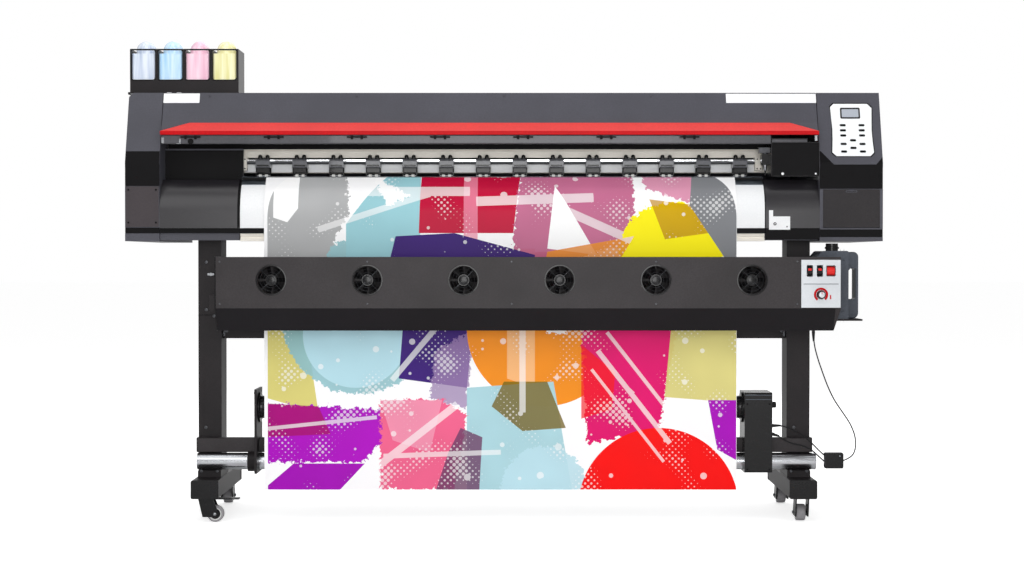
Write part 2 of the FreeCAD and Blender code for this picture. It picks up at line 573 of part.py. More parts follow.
def stand_frame():
    """Cross-beam between the legs with the two arms that hold the dryer."""
    inner = "leg_middle - leg_width / 2"
    beam = box((f"-({inner})", inner), ("-leg_front + 30", "-leg_rear - 20"), ("beam_under", "beam_over"))
    hollow = box((f"-({inner}) - 1", f"{inner} + 1"), ("-leg_front + 34", "-leg_rear - 24"),
                 ("beam_under + 4", "beam_over - 4"))
    left = box((f"-({inner})", "-dryer_left"), ("-dryer_front + 15", "-leg_rear - 20"),
               ("arm_low", "arm_high"))
    right = box((f"{inner} - 22", inner), ("-dryer_back", "-leg_rear - 20"), ("arm_low", "arm_high"))
    node("stand_frame", fuse(cut(beam, hollow), left, right))


def caster(label, side, back, turn, pedal):
    """Swivel caster: fork with its stem, and a wheel that turns on the fork's axle."""
    def fork_plate(offset):
        return prism([("-24", "fork_top - 4"), ("-10", "caster_radius - 10"),
                      ("caster_trail + 9", "caster_radius - 10"),
                      ("caster_trail + 9", "caster_radius + 10"), ("24", "fork_top - 4")], "x",
                     (f"{offset} - fork_gauge / 2", f"{offset} + fork_gauge / 2"))
    reach = "(fork_gap + fork_gauge)"
    top = box((f"-{reach}", reach), ("-26", "30"), ("fork_top - 4", "fork_top"))
    stem = rod("z", "stem_radius", ("fork_top - 1", "foot_low + 14"), ("0", "0"))
    axle = rod("x", "caster_axle", ("-fork_gap - 1", "fork_gap + 1"), ("caster_trail", "caster_radius"))
    pieces = [top, stem, axle, fork_plate("fork_gap + fork_gauge / 2"),
              fork_plate("-fork_gap - fork_gauge / 2")]
    if pedal:
        pieces.append(box(("-16", "16"), ("28", "pedal_reach"), ("fork_top - 6", "fork_top - 2")))
    tread = rod("x", "caster_radius", ("-caster_width / 2", "caster_width / 2"),
                ("caster_trail", "caster_radius"))
    bore = rod("x", "caster_axle + running", ("-caster_width", "caster_width"),
               ("caster_trail", "caster_radius"))
    rims = [rod("x", "caster_radius * 0.6", x, ("caster_trail", "caster_radius"))
            for x in (("-caster_width / 2 - 1", "-caster_width / 2 + 4"),
                      ("caster_width / 2 - 4", "caster_width / 2 + 1"))]
    hub = rod("x", "caster_axle + 5", ("-caster_width / 2 - 1", "caster_width / 2 + 1"),
              ("caster_trail", "caster_radius"))
    for name, solid in ((f"caster_fork_{label}", fuse(*pieces)),
                        (f"caster_wheel_{label}", cut(fuse(cut(tread, *rims), hub), bore))):
        solid.Placement = FreeCAD.Placement(Vector(), Rotation(Vector(0, 0, 1), turn))
        solid.setExpression(".Placement.Base.x", bound(f"{side} * leg_middle"))
        solid.setExpression(".Placement.Base.y", bound(back))
        node(name, solid)


def supply_roll():
    """Media roll with its end flanges on a through spindle that turns in the roll holders."""
    half = "leg_middle - leg_width / 2 + 26 + holder_gauge / 2"
    axis = ("roll_back", "roll_height")
    roll = rod("x", "roll_radius", ("-media_left", "media_right"), axis)
    flanges = [rod("x", "roll_radius * 0.6", x, axis)
               for x in (("-media_left - 14", "-media_left + 1"), ("media_right - 1", "media_right + 14"))]
    spindle = rod("x", "spindle_radius", (f"-({half})", half), axis)
    node("supply_roll", fuse(roll, spindle, *flanges))


# --- dryer ------------------------------------------------------------------------------------------------

def fan_x(i):
    return f"fan_first + {i} * fan_pitch"


def dryer():
    """Folded case with six fans behind round openings, an air slot at the rear and a control plate."""
    def outline(inset):
        return [(f"-dryer_front + {inset}", f"dryer_high - {inset}"),
                (f"-dryer_front + {inset}", "dryer_break"),
                (f"-dryer_chin + {inset} / 2", f"dryer_low + {inset}"),
                (f"-dryer_back - {inset}", f"dryer_low + {inset}"),
                (f"-dryer_back - {inset}", f"dryer_high - {inset}")]
    case = prism(outline("0"), "x", ("-dryer_left", "dryer_right"))
    inside = prism(outline("dryer_wall"), "x", ("-dryer_left + dryer_wall", "dryer_right - dryer_wall"))
    slot = box(("-media_left - 10", "media_right + 10"), ("-dryer_back - 5", "-dryer_back + 5"),
               ("dryer_low + 14", "dryer_low + 74"))
    corner = prism([("dryer_right - 16", "dryer_low - 1"), ("dryer_right + 1", "dryer_low - 1"),
                    ("dryer_right + 1", "dryer_break")], "y", ("-dryer_front - 1", "-dryer_back + 1"))
    wall_back = "-dryer_front + dryer_wall"
    port = box(("panel_left + 8", "dryer_right - 8"), ("-dryer_front - 1", f"{wall_back} + 1"),
               ("dryer_break + 12", "panel_high - 8"))
    mouths = [rod("y", "rotor_radius + mouth_room", ("-dryer_front - 1", f"{wall_back} + 1"),
                  (fan_x(i), "fan_height"))
              for i in range(FAN_COUNT)]
    case = cut(case, inside, slot, corner, port, *mouths)
    frames = []
    fan_back = f"{wall_back} + fan_depth"
    for i in range(FAN_COUNT):
        x = fan_x(i)
        half = "(rotor_radius + frame_room / 2)"
        frame = cut(box((f"{x} - {half}", f"{x} + {half}"), (wall_back, fan_back),
                        (f"fan_height - {half}", f"fan_height + {half}")),
                    rod("y", "rotor_radius + bore_room", (f"{wall_back} - 1", f"{fan_back} + 1"),
                        (x, "fan_height")))
        back = (f"{fan_back} - 3", fan_back)
        struts = [box((f"{x} - {half}", f"{x} + {half}"), back, ("fan_height - 3", "fan_height + 3")),
                  box((f"{x} - 3", f"{x} + 3"), back, (f"fan_height - {half}", f"fan_height + {half}")),
                  rod("y", "rotor_hub", back, (x, "fan_height")),
                  rod("y", "fan_pin", (f"{wall_back} + 3", fan_back), (x, "fan_height"))]
        frames.append(fuse(frame, *struts))
        rotor(i, wall_back, fan_back)
    gland = rod("z", "boss_radius", ("dryer_low - 8", "dryer_low + 1"),
                ("panel_left + 50", "-dryer_back - 30"))
    node("dryer_case", fuse(case, gland, *frames))


def rotor(i, wall_back, fan_back):
    """Fan hub with seven pitched blades."""
    x = fan_x(i)
    hub = rod("y", "rotor_hub", (f"{wall_back} + 2", f"{fan_back} - 4"), (x, "fan_height"))
    blades = []
    for k in range(BLADE_COUNT):
        blade = doc.addObject("Part::Box", "blade")
        blade.setExpression("Length", bound("rotor_radius - rotor_hub + 1"))
        blade.setExpression("Width", bound("blade_chord"))
        blade.setExpression("Height", bound("blade_gauge"))
        spin = Rotation(Vector(0, 1, 0), 360 / BLADE_COUNT * k)
        turn = spin.multiply(Rotation(Vector(1, 0, 0), 38))
        way = spin.multVec(Vector(1, 0, 0))
        start = turn.multVec(Vector(0, -value("blade_chord") / 2, -value("blade_gauge") / 2))
        blade.Placement = FreeCAD.Placement(Vector(), turn)
        places = (f"{x} + {start.x:.5f} + {way.x:.5f} * (rotor_hub - 1.5)",
                  f"{wall_back} + 2 + (fan_depth - 6) / 2 + {start.y:.5f}",
                  f"fan_height + {start.z:.5f} + {way.z:.5f} * (rotor_hub - 1.5)")
        for axis, text in zip("xyz", places):
            blade.setExpression(f".Placement.Base.{axis}", bound(text))
        blades.append(blade)
    bore = rod("y", "fan_pin + running", (f"{wall_back} + 1", fan_back), (x, "fan_height"))
    node(f"fan_rotor_{i + 1}", cut(fuse(hub, *blades), bore))


def dryer_controls():
    """Plate with three rocker switches, each on its own pins in a pair of cheeks, and a speed knob."""
    front = "-dryer_front - panel_gauge"
    plate = box(("panel_left", "dryer_right - 1"), (front, "-dryer_front"),
                ("dryer_break + 2", "panel_high"))
    pieces, tools = [plate], []
    axis_y = "-dryer_front + 8"
    for i, (x, width, radius) in enumerate((("rocker_first", "rocker_width", "rocker_radius"),
                                            ("rocker_second", "rocker_width", "rocker_radius"),
                                            ("rocker_third", "square_width", "square_radius"))):
        half = f"{width} / 2"
        pieces.append(box((f"{x} - {half} - play - 2", f"{x} + {half} + play + 2"),
                          ("-dryer_front", f"{axis_y} + 6"),
                          (f"rocker_height - {radius} - 3", f"rocker_height + {radius} + 3")))
        tools.append(box((f"{x} - {half} - play", f"{x} + {half} + play"), (f"{front} - 1", f"{axis_y} + 7"),
                         (f"rocker_height - {radius} - play", f"rocker_height + {radius} + play")))
        tools.append(rod("x", "rocker_pin + running",
                         (f"{x} - {half} - play - 3", f"{x} + {half} + play + 3"),
                         (axis_y, "rocker_height")))
        drum = rod("x", radius, (f"{x} - {half}", f"{x} + {half}"), (axis_y, "rocker_height"))
        key = common(drum, box((f"{x} - {half}", f"{x} + {half}"), (f"{front} - 4", f"{axis_y} + 5"),
                               (f"rocker_height - {radius}", f"rocker_height + {radius}")))
        pin = rod("x", "rocker_pin", (f"{x} - {half} - play - 2", f"{x} + {half} + play + 2"),
                  (axis_y, "rocker_height"))
        node(f"rocker_{i + 1}", fuse(key, pin))
    shaft = ("knob_across", "knob_height")
    pieces.append(rod("y", "knob_shaft + 5", ("-dryer_front", "-dryer_front + 10"), shaft))
    tools.append(rod("y", "knob_shaft + running", (f"{front} - 1", "-dryer_front + 11"), shaft))
    node("dryer_panel", cut(fuse(*pieces), *tools))
    grip = rod("y", "knob_radius", (f"{front} - play - knob_reach", f"{front} - play"), shaft)
    stalk = rod("y", "knob_shaft", (f"{front} - play - knob_reach / 2", "-dryer_front + 12"), shaft)
    node("dryer_knob", fuse(grip, stalk))


def waste_bottle():
    """Flat jerrycan with a finger opening and a neck under the right end."""
    can = rounded(box(("waste_left", "waste_right"), ("-waste_front", "-waste_back"),
                      ("waste_low", "waste_high")), 10, "z")
    handle = prism([("waste_right - 44", "waste_low + 62"), ("waste_right - 12", "waste_low + 62"),
                    ("waste_right - 12", "waste_high - 56"), ("waste_right - 26", "waste_high - 56")],
                   "y", ("-waste_front - 1", "-waste_back + 1"))
    neck = rod("z", "neck_radius", ("waste_high - 1", "neck_high"),
               ("(waste_left + waste_right) / 2 - 12", "-(waste_front + waste_back) / 2"))
    node("waste_bottle", fuse(cut(can, handle), neck))


# --- take-up ----------------------------------------------------------------------------------------------

def take_up():
    """Rail and tube across the legs, a sliding left cheek, a fixed drive box and two core hubs."""
    tube_y = "-leg_front - tube_radius - seat / 2"
    rail = cut(box(("-tube_left", "leg_middle + leg_width / 2"), ("-rail_front", "-leg_front"),
                   ("rail_bottom", "rail_top")),
               box(("-tube_left - 1", "leg_middle + leg_width"), ("-rail_front + 3", "-leg_front - 3"),
                   ("rail_bottom + 3", "rail_top - 3")))
    tube = cut(rod("x", "tube_radius", ("-tube_left", "tube_right"), (tube_y, "tube_height")),
               rod("x", "tube_radius - tube_wall", ("-tube_left - 1", "tube_right + 1"),
                   (tube_y, "tube_height")))
    node("takeup_rails", group(rail, tube))

    def openings(across, gap):
        return [box(across, (f"-rail_front - {gap}", f"-leg_front + {gap}"),
                    (f"rail_bottom - {gap}", f"rail_top + {gap}")),
                rod("x", f"tube_radius + {gap}", across, (tube_y, "tube_height"))]
    hub_axis = ("-hub_back", "hub_height")
    cheek = box(("-slide_left", "-slide_left + slide_gauge"), ("-slide_front", "-slide_back"),
                ("slide_low", "slide_high"))
    collar = rod("x", "tube_radius + 6", ("-slide_left - collar", "-slide_left + 1"),
                 (tube_y, "tube_height"))
    slide = cut(fuse(cheek, collar), *openings(("-slide_left - collar - 1",
                                                "-slide_left + slide_gauge + 1"), "seat"),
                rod("x", "hub_shaft + running", ("-slide_left - 1", "-slide_left + slide_gauge + 1"),
                    hub_axis))
    node("takeup_slide", slide)
    face = "-slide_left + slide_gauge"
    node("takeup_hub_left", fuse(
        rod("x", "hub_shaft", ("-slide_left - 6", f"{face} + play + 1"), hub_axis),
        rod("x", "hub_flange", (f"{face} + play", f"{face} + 6"), hub_axis),
        rod("x", "hub_radius", (f"{face} + 5", f"{face} + 6 + hub_length"), hub_axis)))
    drive = rounded(box(("drive_left", "drive_right"), ("-drive_front", "-slide_back"),
                        ("drive_low", "drive_high")), 6, "x")
    exits = [rod("x", "boss_radius", ("drive_right - 1", "drive_right + 8"), place)
             for place in (("-lead_front", "lead_high"), ("-lead_back", "lead_low"))]
    clamp = rod("x", "7", ("drive_right - 1", "drive_right + 18"), ("-slide_back - 80", "drive_high - 43"))
    node("takeup_drive", cut(fuse(drive, clamp, *exits),
                             *openings(("drive_left - 1", "drive_right + 1"), "0.1"),
                             rod("x", "hub_shaft + running", ("drive_left - 1", "drive_left + 32"),
                                 hub_axis)))
    node("takeup_hub_right", fuse(
        rod("x", "hub_shaft", ("drive_left - play - 1", "drive_left + 30"), hub_axis),
        rod("x", "hub_flange", ("drive_left - 6", "drive_left - play"), hub_axis),
        rod("x", "hub_radius", ("drive_left - 6 - hub_length", "drive_left - 5"), hub_axis)))


# --- media ------------------------------------------------------------------------------------------------

def media():
    """Sheet from the supply roll over the bed and the nose, hanging to just above the floor."""
    def layer(gap):
        """Outline points of one face from the hem up to the roll, with its arcs as centre-left radii."""
        nose = f"(nose_radius + {gap} - media_gap)"
        centre = "-body_front + nose_radius"
        join = "nose_foot + 0.7 * nose_radius"
        return [(f"{centre} - {nose}", "media_foot"), (f"{centre} - {nose}", "nose_foot", f"-{nose}"),
                (f"{centre} - sqrt({nose}^2 - (0.7 * nose_radius)^2)", join),
                (f"-platen_front - media_gap - ({gap} - media_gap) / 2", f"platen_top + {gap}"),
                ("platen_rear", f"platen_top + {gap}", f"-(rear_nose + {gap})"),
                (f"platen_rear + rear_nose + {gap}", "platen_top - rear_nose"),
                (f"platen_rear + rear_nose + {gap}", "roll_height")]
    outer = layer("(media_gap + media_gauge)")
    inner = layer("media_gap")
    back = []
    for i in range(len(inner) - 1, -1, -1):
        arc = i > 0 and len(inner[i - 1]) == 3
        back.append(inner[i][:2] + ((inner[i - 1][2].replace("-", "", 1),) if arc else ()))
    node("media", prism(outer + back, "x", ("-media_left", "media_right")))


# --- cables -----------------------------------------------------------------------------------------------

CABLES = {
    "dryer_cable": (2.0, [(987, -340, 620), (988, -340, 588), (1000, -338, 541), (1016, -335, 496),
                          (1033, -331, 451), (1054, -326, 407), (1082, -320, 367), (1110, -313, 328),
                          (1128, -306, 286), (1131, -300, 246), (1118, -296, 216), (1090, -295, 206)]),
    "takeup_lead_1": (2.2, [(878, -232, 313), (898, -233, 314), (924, -238, 306), (950, -248, 294),
                            (974, -261, 278), (996, -275, 258), (1014, -285, 238), (1030, -290, 224)]),
    "takeup_lead_2": (2.2, [(878, -226, 285), (894, -228, 278), (914, -233, 264), (940, -243, 254),
                            (968, -258, 250), (992, -274, 240), (1010, -288, 222), (1030, -298, 204)]),
}


def cable(label, radius, points):
    """Straight runs joined by arcs that are tangent to both, swept by a circle."""
    way = [Vector(*p) for p in points]
    edges, here, length, radii = [], way[0], 0.0, []
    for before, corner, after in zip(way, way[1:], way[2:]):
        one, two = (corner - before), (after - corner)
        reach = 0.45 * min(one.Length, two.Length)
        turn = one.getAngle(two)
        start = corner - Vector(one).normalize() * reach
        end = corner + Vector(two).normalize() * reach
        bend = reach / math.tan(turn / 2)
        inward = (Vector(two).normalize() - Vector(one).normalize()).normalize()
        middle = corner + inward * (math.hypot(bend, reach) - bend)
        edges.append(Part.LineSegment(here, start).toShape())
        edges.append(Part.Arc(start, middle, end).toShape())
        radii.append(round(bend))
        length += (start - here).Length + bend * turn
        here = end
    edges.append(Part.LineSegment(here, way[-1]).toShape())
    length += (way[-1] - here).Length
    ring = Part.Wire([Part.makeCircle(radius, way[0], way[1] - way[0])])
    path = Part.Wire(edges)
    tube = path.makePipeShell([ring], True, False)
    solid = doc.addObject("Part::Feature", label)
    solid.Shape = tube
    node(label, solid)
    ideal = math.pi * radius ** 2 * length
    print(f"{label}: length {length:.1f}, least bend {min(radii)}, volume ratio {tube.Volume / ideal:.5f}")


def adapter():
    block = rounded(box(("adapter_left", "adapter_right"), ("-adapter_front", "-adapter_back"),
                        ("adapter_low", "adapter_high")), 5, "y")
    node("adapter", block)


body_shell()
front_extrusion()
end_housing_left()
end_housing_right()
control_panel()
inner_covers()
apron()
platen()
rail_beam()
pinch_rollers()
carriage()
opening_cover()
right_door()
lift_lever()
ink_rack()
stand_side("stand_left", -1)
stand_side("stand_right", 1)
stand_frame()
caster("front_left", -1, "-caster_front", -90, True)
caster("front_right", 1, "-caster_front", 0, True)
caster("rear_left", -1, "caster_rear", 0, False)
caster("rear_right", 1, "caster_rear", 0, False)
supply_roll()
dryer()
dryer_controls()
waste_bottle()
take_up()
media()
for cable_label, (cable_radius, cable_points) in CABLES.items():
    cable(cable_label, cable_radius, cable_points)
adapter()

doc.recompute()
faults = [o.Label for o in doc.Objects if {"Invalid", "Error"} & set(o.State)]
for label, solid in nodes.items():
    if solid.Shape.isNull() or not solid.Shape.isValid() or not solid.Shape.Solids:
        faults.append(label)
if faults:
    raise RuntimeError(f"failed objects: {faults}")
os.makedirs("parts", exist_ok=True)
for label, solid in nodes.items():
    solid.Shape.exportStep(f"parts/{label}.step")
print(len(nodes), "nodes")
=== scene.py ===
"""Roll-fed printer and cutter on its stand, with dryer, ink bottles, printed sheet and take-up, in metres."""
import math

import bpy
import numpy as np
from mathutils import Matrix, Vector


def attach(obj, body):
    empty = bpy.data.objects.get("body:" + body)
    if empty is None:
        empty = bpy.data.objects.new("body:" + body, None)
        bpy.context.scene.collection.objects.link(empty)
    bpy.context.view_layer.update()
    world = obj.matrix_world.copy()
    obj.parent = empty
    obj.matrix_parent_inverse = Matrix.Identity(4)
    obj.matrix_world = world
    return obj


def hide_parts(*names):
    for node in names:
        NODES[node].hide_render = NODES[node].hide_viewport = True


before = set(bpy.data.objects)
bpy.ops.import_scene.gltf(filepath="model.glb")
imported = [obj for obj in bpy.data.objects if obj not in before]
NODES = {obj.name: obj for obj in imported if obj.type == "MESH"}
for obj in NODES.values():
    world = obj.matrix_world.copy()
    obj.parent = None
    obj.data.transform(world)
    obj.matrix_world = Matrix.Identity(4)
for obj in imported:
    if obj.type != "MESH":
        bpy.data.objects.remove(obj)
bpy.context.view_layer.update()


# --- places, in millimetres ---

NOSE = (-128.0, 1003.0)  # Y and Z of the axis that the front edge is rounded about
NOSE_REACH, REAR_REACH = 130.3, 30.3  # radii of the sheet over the front edge and over the rear edge
REAR_EDGE = (380.0, 1092.0)
BED_HEIGHT, FRONT, RAIL_FACE = 1122.3, -258.0, -108.3
BED_LEFT, BED_RIGHT = -852.5, 842.5
SHEET_LEFT, SHEET_RIGHT, HEM = -775.0, 752.0, 108.0
ROLL = (0, 330, 760)  # the supply roll's axis
HUB_LINE = (-180, 370)  # Y and Z of the take-up core
KNOB = (999, -413.4, 742)
KEYPAD_MIDDLE = (1129.5, 1273.5)
PANEL_FACE, FAN_HEIGHT, ROCKER_HEIGHT = -412.9, 788, 817
ARMS = [-791 + 120.4 * i for i in range(14)]
FANS = [-733 + 303.2 * i for i in range(6)]
RACK = [-1191 + 89.2 * i for i in range(4)]
LEG, WHEEL_LINE, CASTER_LEAD = 968, 27, 30


# --- camera ---

def place_camera():
    """A long lens square to the front, a little over half the machine's height."""
    lens = bpy.data.cameras.new("camera")
    lens.lens, lens.sensor_width = 65.3, 36
    eye = bpy.data.objects.new("camera", lens)
    eye.location = (0.026, -6.26, 0.858)
    eye.rotation_euler = (math.radians(90 - 0.79), 0, 0)
    bpy.context.collection.objects.link(eye)
    bpy.context.scene.camera = eye


place_camera()


# --- surfaces ---

def quads(rows, cols, close_rows=False, close_cols=False):
    """Faces between neighbouring points of a rows by cols grid: row i, column j has number i * cols + j."""
    i = np.arange(rows if close_rows else rows - 1)[:, None]
    j = np.arange(cols if close_cols else cols - 1)[None, :]
    down, right = (i + 1) % rows, (j + 1) % cols
    return np.stack([i * cols + j, i * cols + right, down * cols + right, down * cols + j], -1).reshape(-1, 4)


def outward(points, faces):
    """The same faces, turned over if the volume that they enclose comes out negative."""
    fans = [np.array([[f[0], f[k], f[k + 1]] for k in range(1, len(f) - 1)]) for f in faces if len(f) > 4]
    four = np.array([f for f in faces if len(f) == 4], int).reshape(-1, 4)
    three = np.array([f for f in faces if len(f) == 3], int).reshape(-1, 3)
    fans += [four[:, [0, 1, 2]], four[:, [0, 2, 3]], three]
    a, b, c = (points[np.concatenate(fans)[:, k]] for k in range(3))
    volume = np.einsum("ij,ij->i", a, np.cross(b, c)).sum()
    return [f[::-1] for f in faces] if volume < 0 else faces


def solid(points, faces):
    points = np.asarray(points, float).reshape(-1, 3)
    return points, outward(points, [list(map(int, f)) for f in faces])


def join(shapes):
    """Several closed shapes as one, each one's face numbers moved past the points before it."""
    points, faces, start = [], [], 0
    for p, f in shapes:
        points.append(p)
        faces += [[v + start for v in face] for face in f]
        start += len(p)
    return np.concatenate(points), faces


AXES = {"x": (1, 2, 0), "y": (0, 2, 1), "z": (0, 1, 2)}


def capped(rows, cols):
    """Faces of a tube of rows by cols points, with a lid on each end."""
    count = rows * cols
    lids = [list(range(cols)), list(range(count - 1, count - cols - 1, -1))]
    return quads(rows, cols, close_cols=True).tolist() + lids


def prism(outline, axis, low, high):
    """An outline in the two other axes, in order, carried straight along an axis from low to high."""
    a, b, along = AXES[axis]
    flat = np.asarray(outline, float)
    points = np.zeros((2, len(flat), 3))
    points[:, :, a], points[:, :, b] = flat[:, 0], flat[:, 1]
    points[0, :, along], points[1, :, along] = low, high
    return solid(points, capped(2, len(flat)))


def block(low, high):
    """A box from its lowest to its highest corner."""
    (x0, y0, z0), (x1, y1, z1) = low, high
    return prism([(x0, y0), (x1, y0), (x1, y1), (x0, y1)], "z", z0, z1)


def turned(profile, axis, centre, segments):
    """Points of a profile of (radius, distance along) turned about an axis through centre."""
    a, b, c = AXES[axis]
    radius, along = np.asarray(profile, float).T[:, :, None]
    turn = np.linspace(0, 2 * np.pi, segments, endpoint=False)
    points = np.zeros((len(profile), segments, 3))
    points[..., a] = centre[a] + radius * np.cos(turn)
    points[..., b] = centre[b] + radius * np.sin(turn)
    points[..., c] = centre[c] + along
    return points


def lathe(profile, axis, centre, segments=48):
    """A turned profile whose first and last rows are lids."""
    return solid(turned(profile, axis, centre, segments), capped(len(profile), segments))


def ring(profile, axis, centre, segments=48):
    """A turned profile that closes on itself, round a hole."""
    return solid(turned(profile, axis, centre, segments), quads(len(profile), segments, True, True))


def arc(centre, radius, first, last, count):
    """Points of an arc between two angles in degrees."""
    turn = np.radians(np.linspace(first, last, count))
    return np.stack([centre[0] + radius * np.cos(turn), centre[1] + radius * np.sin(turn)], 1)


def crescent(centre, radii, turns, count):
    """The outline between two arcs about one centre: out along the first radius and back along the second."""
    return np.concatenate([arc(centre, radii[0], *turns, count), arc(centre, radii[1], *turns[::-1], count)])


def evenly(line, count):
    """Points at even distances along a line, and how far along each is."""
    run = np.concatenate([[0], np.cumsum(np.linalg.norm(np.diff(line, axis=0), axis=1))])
    at = np.linspace(0, run[-1], count)
    return np.stack([np.interp(at, run, part) for part in line.T], 1), at


def rounded_outline(corners, radius, steps=5):
    """An outline whose corners are arcs, each tangent to both its sides at a reach from the corner."""
    corners = np.asarray(corners, float)
    radii = np.broadcast_to(radius, len(corners))
    before, after = np.roll(corners, 1, 0) - corners, np.roll(corners, -1, 0) - corners
    one = before / np.linalg.norm(before, axis=1)[:, None]
    two = after / np.linalg.norm(after, axis=1)[:, None]
    half = np.arccos(np.clip((one * two).sum(1), -1, 1)) / 2
    reach = radii / np.tan(half)
    middle = one + two
    middle = middle / np.maximum(np.linalg.norm(middle, axis=1), 1e-9)[:, None]
    centre = corners + middle * (radii / np.sin(half))[:, None]
    start, end = corners + one * reach[:, None] - centre, corners + two * reach[:, None] - centre
    t = np.linspace(0, 1, steps + 1)[None, :, None]
    mixed = start[:, None] * (1 - t) + end[:, None] * t
    mixed = mixed / np.maximum(np.linalg.norm(mixed, axis=2), 1e-12)[..., None]
    return (centre[:, None] + mixed * radii[:, None, None]).reshape(-1, 2)


def rectangle(low, high, radius=0.0, steps=4):
    """A rectangle's outline between two corners, its own corners rounded."""
    corners = [(low[0], low[1]), (high[0], low[1]), (high[0], high[1]), (low[0], high[1])]
    return rounded_outline(corners, radius, steps) if radius else np.array(corners, float)


def tube_along(path, radius, segments=16):
    """A circle carried along a path, square to it, by rotating one frame from each point to the next."""
    path = np.asarray(path, float)
    way = np.gradient(path, axis=0)
    way /= np.linalg.norm(way, axis=1)[:, None]
    side = np.cross(way[0], [0.31, 0.17, 0.93])
    sides = []
    for tangent in way:
        side = side - tangent * np.dot(side, tangent)
        side = side / np.linalg.norm(side)
        sides.append(side)
    sides = np.array(sides)
    up = np.cross(way, sides)
    turn = np.linspace(0, 2 * np.pi, segments, endpoint=False)
    radius = np.broadcast_to(radius, len(path))[:, None, None]
    across = sides[:, None] * np.cos(turn)[None, :, None] + up[:, None] * np.sin(turn)[None, :, None]
    return solid(path[:, None] + radius * across, capped(len(path), segments))


def piece(name, shapes, finish, body="machine", bevel=0.0, stands_for=(), segments=2, sharp=35):
    """One object from shapes in millimetres, smooth but for its sharp edges, put on its body."""
    points, faces = join(shapes if isinstance(shapes, list) else [shapes])
    mesh = bpy.data.meshes.new(name)
    mesh.from_pydata((points / 1000).tolist(), [], faces)
    mesh.polygons.foreach_set("use_smooth", np.ones(len(faces), bool))
    mesh.set_sharp_from_angle(angle=math.radians(sharp))
    mesh.materials.append(finish)
    made = bpy.data.objects.new(name, mesh)
    bpy.context.collection.objects.link(made)
    if bevel:
        edge = made.modifiers.new("edge", "BEVEL")
        edge.width = bevel / 1000
        edge.segments = segments
        edge.limit_method = "ANGLE"
        edge.angle_limit = math.radians(38)
        edge.harden_normals = False
    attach(made, body)
    if stands_for:
        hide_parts(*([stands_for] if isinstance(stands_for, str) else stands_for))
    return made


def paint(node, finish):
    """Gives a CAD node its finish."""
    mesh = NODES[node].data
    mesh.materials.clear()
    mesh.materials.append(finish)


# --- finishes ---

def linear(code):
    """sRGB hex to linear light."""
    part = np.array([int(code[k:k + 2], 16) for k in (1, 3, 5)]) / 255
    return tuple(np.where(part <= 0.04045, part / 12.92, ((part + 0.055) / 1.055) ** 2.4)) + (1.0,)


def add(tree, kind, inputs=None, **settings):
    """Adds a node with its settings; an input takes a value or the socket that feeds it."""
    made = tree.nodes.new("ShaderNode" + kind)
    for name, setting in settings.items():
        setattr(made, name, setting)
    for key, given in (inputs or {}).items():
        if isinstance(given, bpy.types.NodeSocket):
            tree.links.new(given, made.inputs[key])
        else:
            made.inputs[key].default_value = given
    return made


def blank(name):
    """An empty material, its tree, and the Object coordinates of what wears it."""
    made = bpy.data.materials.new(name)
    made.use_nodes = True
    tree = made.node_tree
    tree.nodes.clear()
    return made, tree, add(tree, "TexCoord").outputs["Object"]


def calc(tree, work, one, other=0.0):
    return add(tree, "Math", {0: one, 1: other}, operation=work).outputs[0]


def vector(tree, work, one, other=(0.0, 0.0, 0.0)):
    made = add(tree, "VectorMath", {0: one, 1: other}, operation=work)
    return made.outputs["Value" if work in ("DOT_PRODUCT", "DISTANCE", "LENGTH") else "Vector"]


def mapped(tree, share, low, high, start=0.0, end=1.0):
    """What goes from start to end, as a value from low to high."""
    return add(tree, "MapRange", {"Value": share, "From Min": start, "From Max": end,
                                  "To Min": low, "To Max": high}).outputs["Result"]


def ramp(tree, share, low, high, shade, code):
    """A colour that goes from shade to code while the share goes from low to high."""
    made = add(tree, "ValToRGB", {"Fac": share})
    for end, at, colour in zip(made.color_ramp.elements, (low, high), (shade, code)):
        end.position, end.color = at, linear(colour)
    return made.outputs["Color"]


def bumped(tree, height, strength, depth):
    """Normals of a relief so many millimetres deep."""
    made = add(tree, "Bump", {"Height": height, "Strength": strength, "Distance": depth / 1000})
    return {"Normal": made.outputs["Normal"]}


def dressed(tree, made, colour, rough, more):
    """Ends a material in its shader."""
    shader = add(tree, "BsdfPrincipled", {"Base Color": colour, "Roughness": rough, **more})
    add(tree, "OutputMaterial", {"Surface": shader.outputs[0]})
    return made


def grained(name, code, shade, grain, rough, depth, metal=0.0, coat=0.0, shine=0.2):
    """A coat or moulding with a fine grain of a size in millimetres: it breaks up both gloss and colour."""
    made, tree, place = blank(name)
    fine = add(tree, "TexNoise", {"Vector": place, "Scale": 1000 / grain, "Detail": 3.0, "Roughness": 0.6})
    broad = add(tree, "TexNoise", {"Vector": place, "Scale": 7.0, "Detail": 2.0})
    both = calc(tree, "MULTIPLY", fine.outputs["Fac"], broad.outputs["Fac"])
    return dressed(tree, made, ramp(tree, both, 0.08, 0.42, shade, code),
                   mapped(tree, fine.outputs["Fac"], rough - 0.06, rough + 0.06),
                   {"Metallic": metal, "Coat Weight": coat, "Specular IOR Level": shine,
                    **bumped(tree, fine.outputs["Fac"], 0.5, depth)})


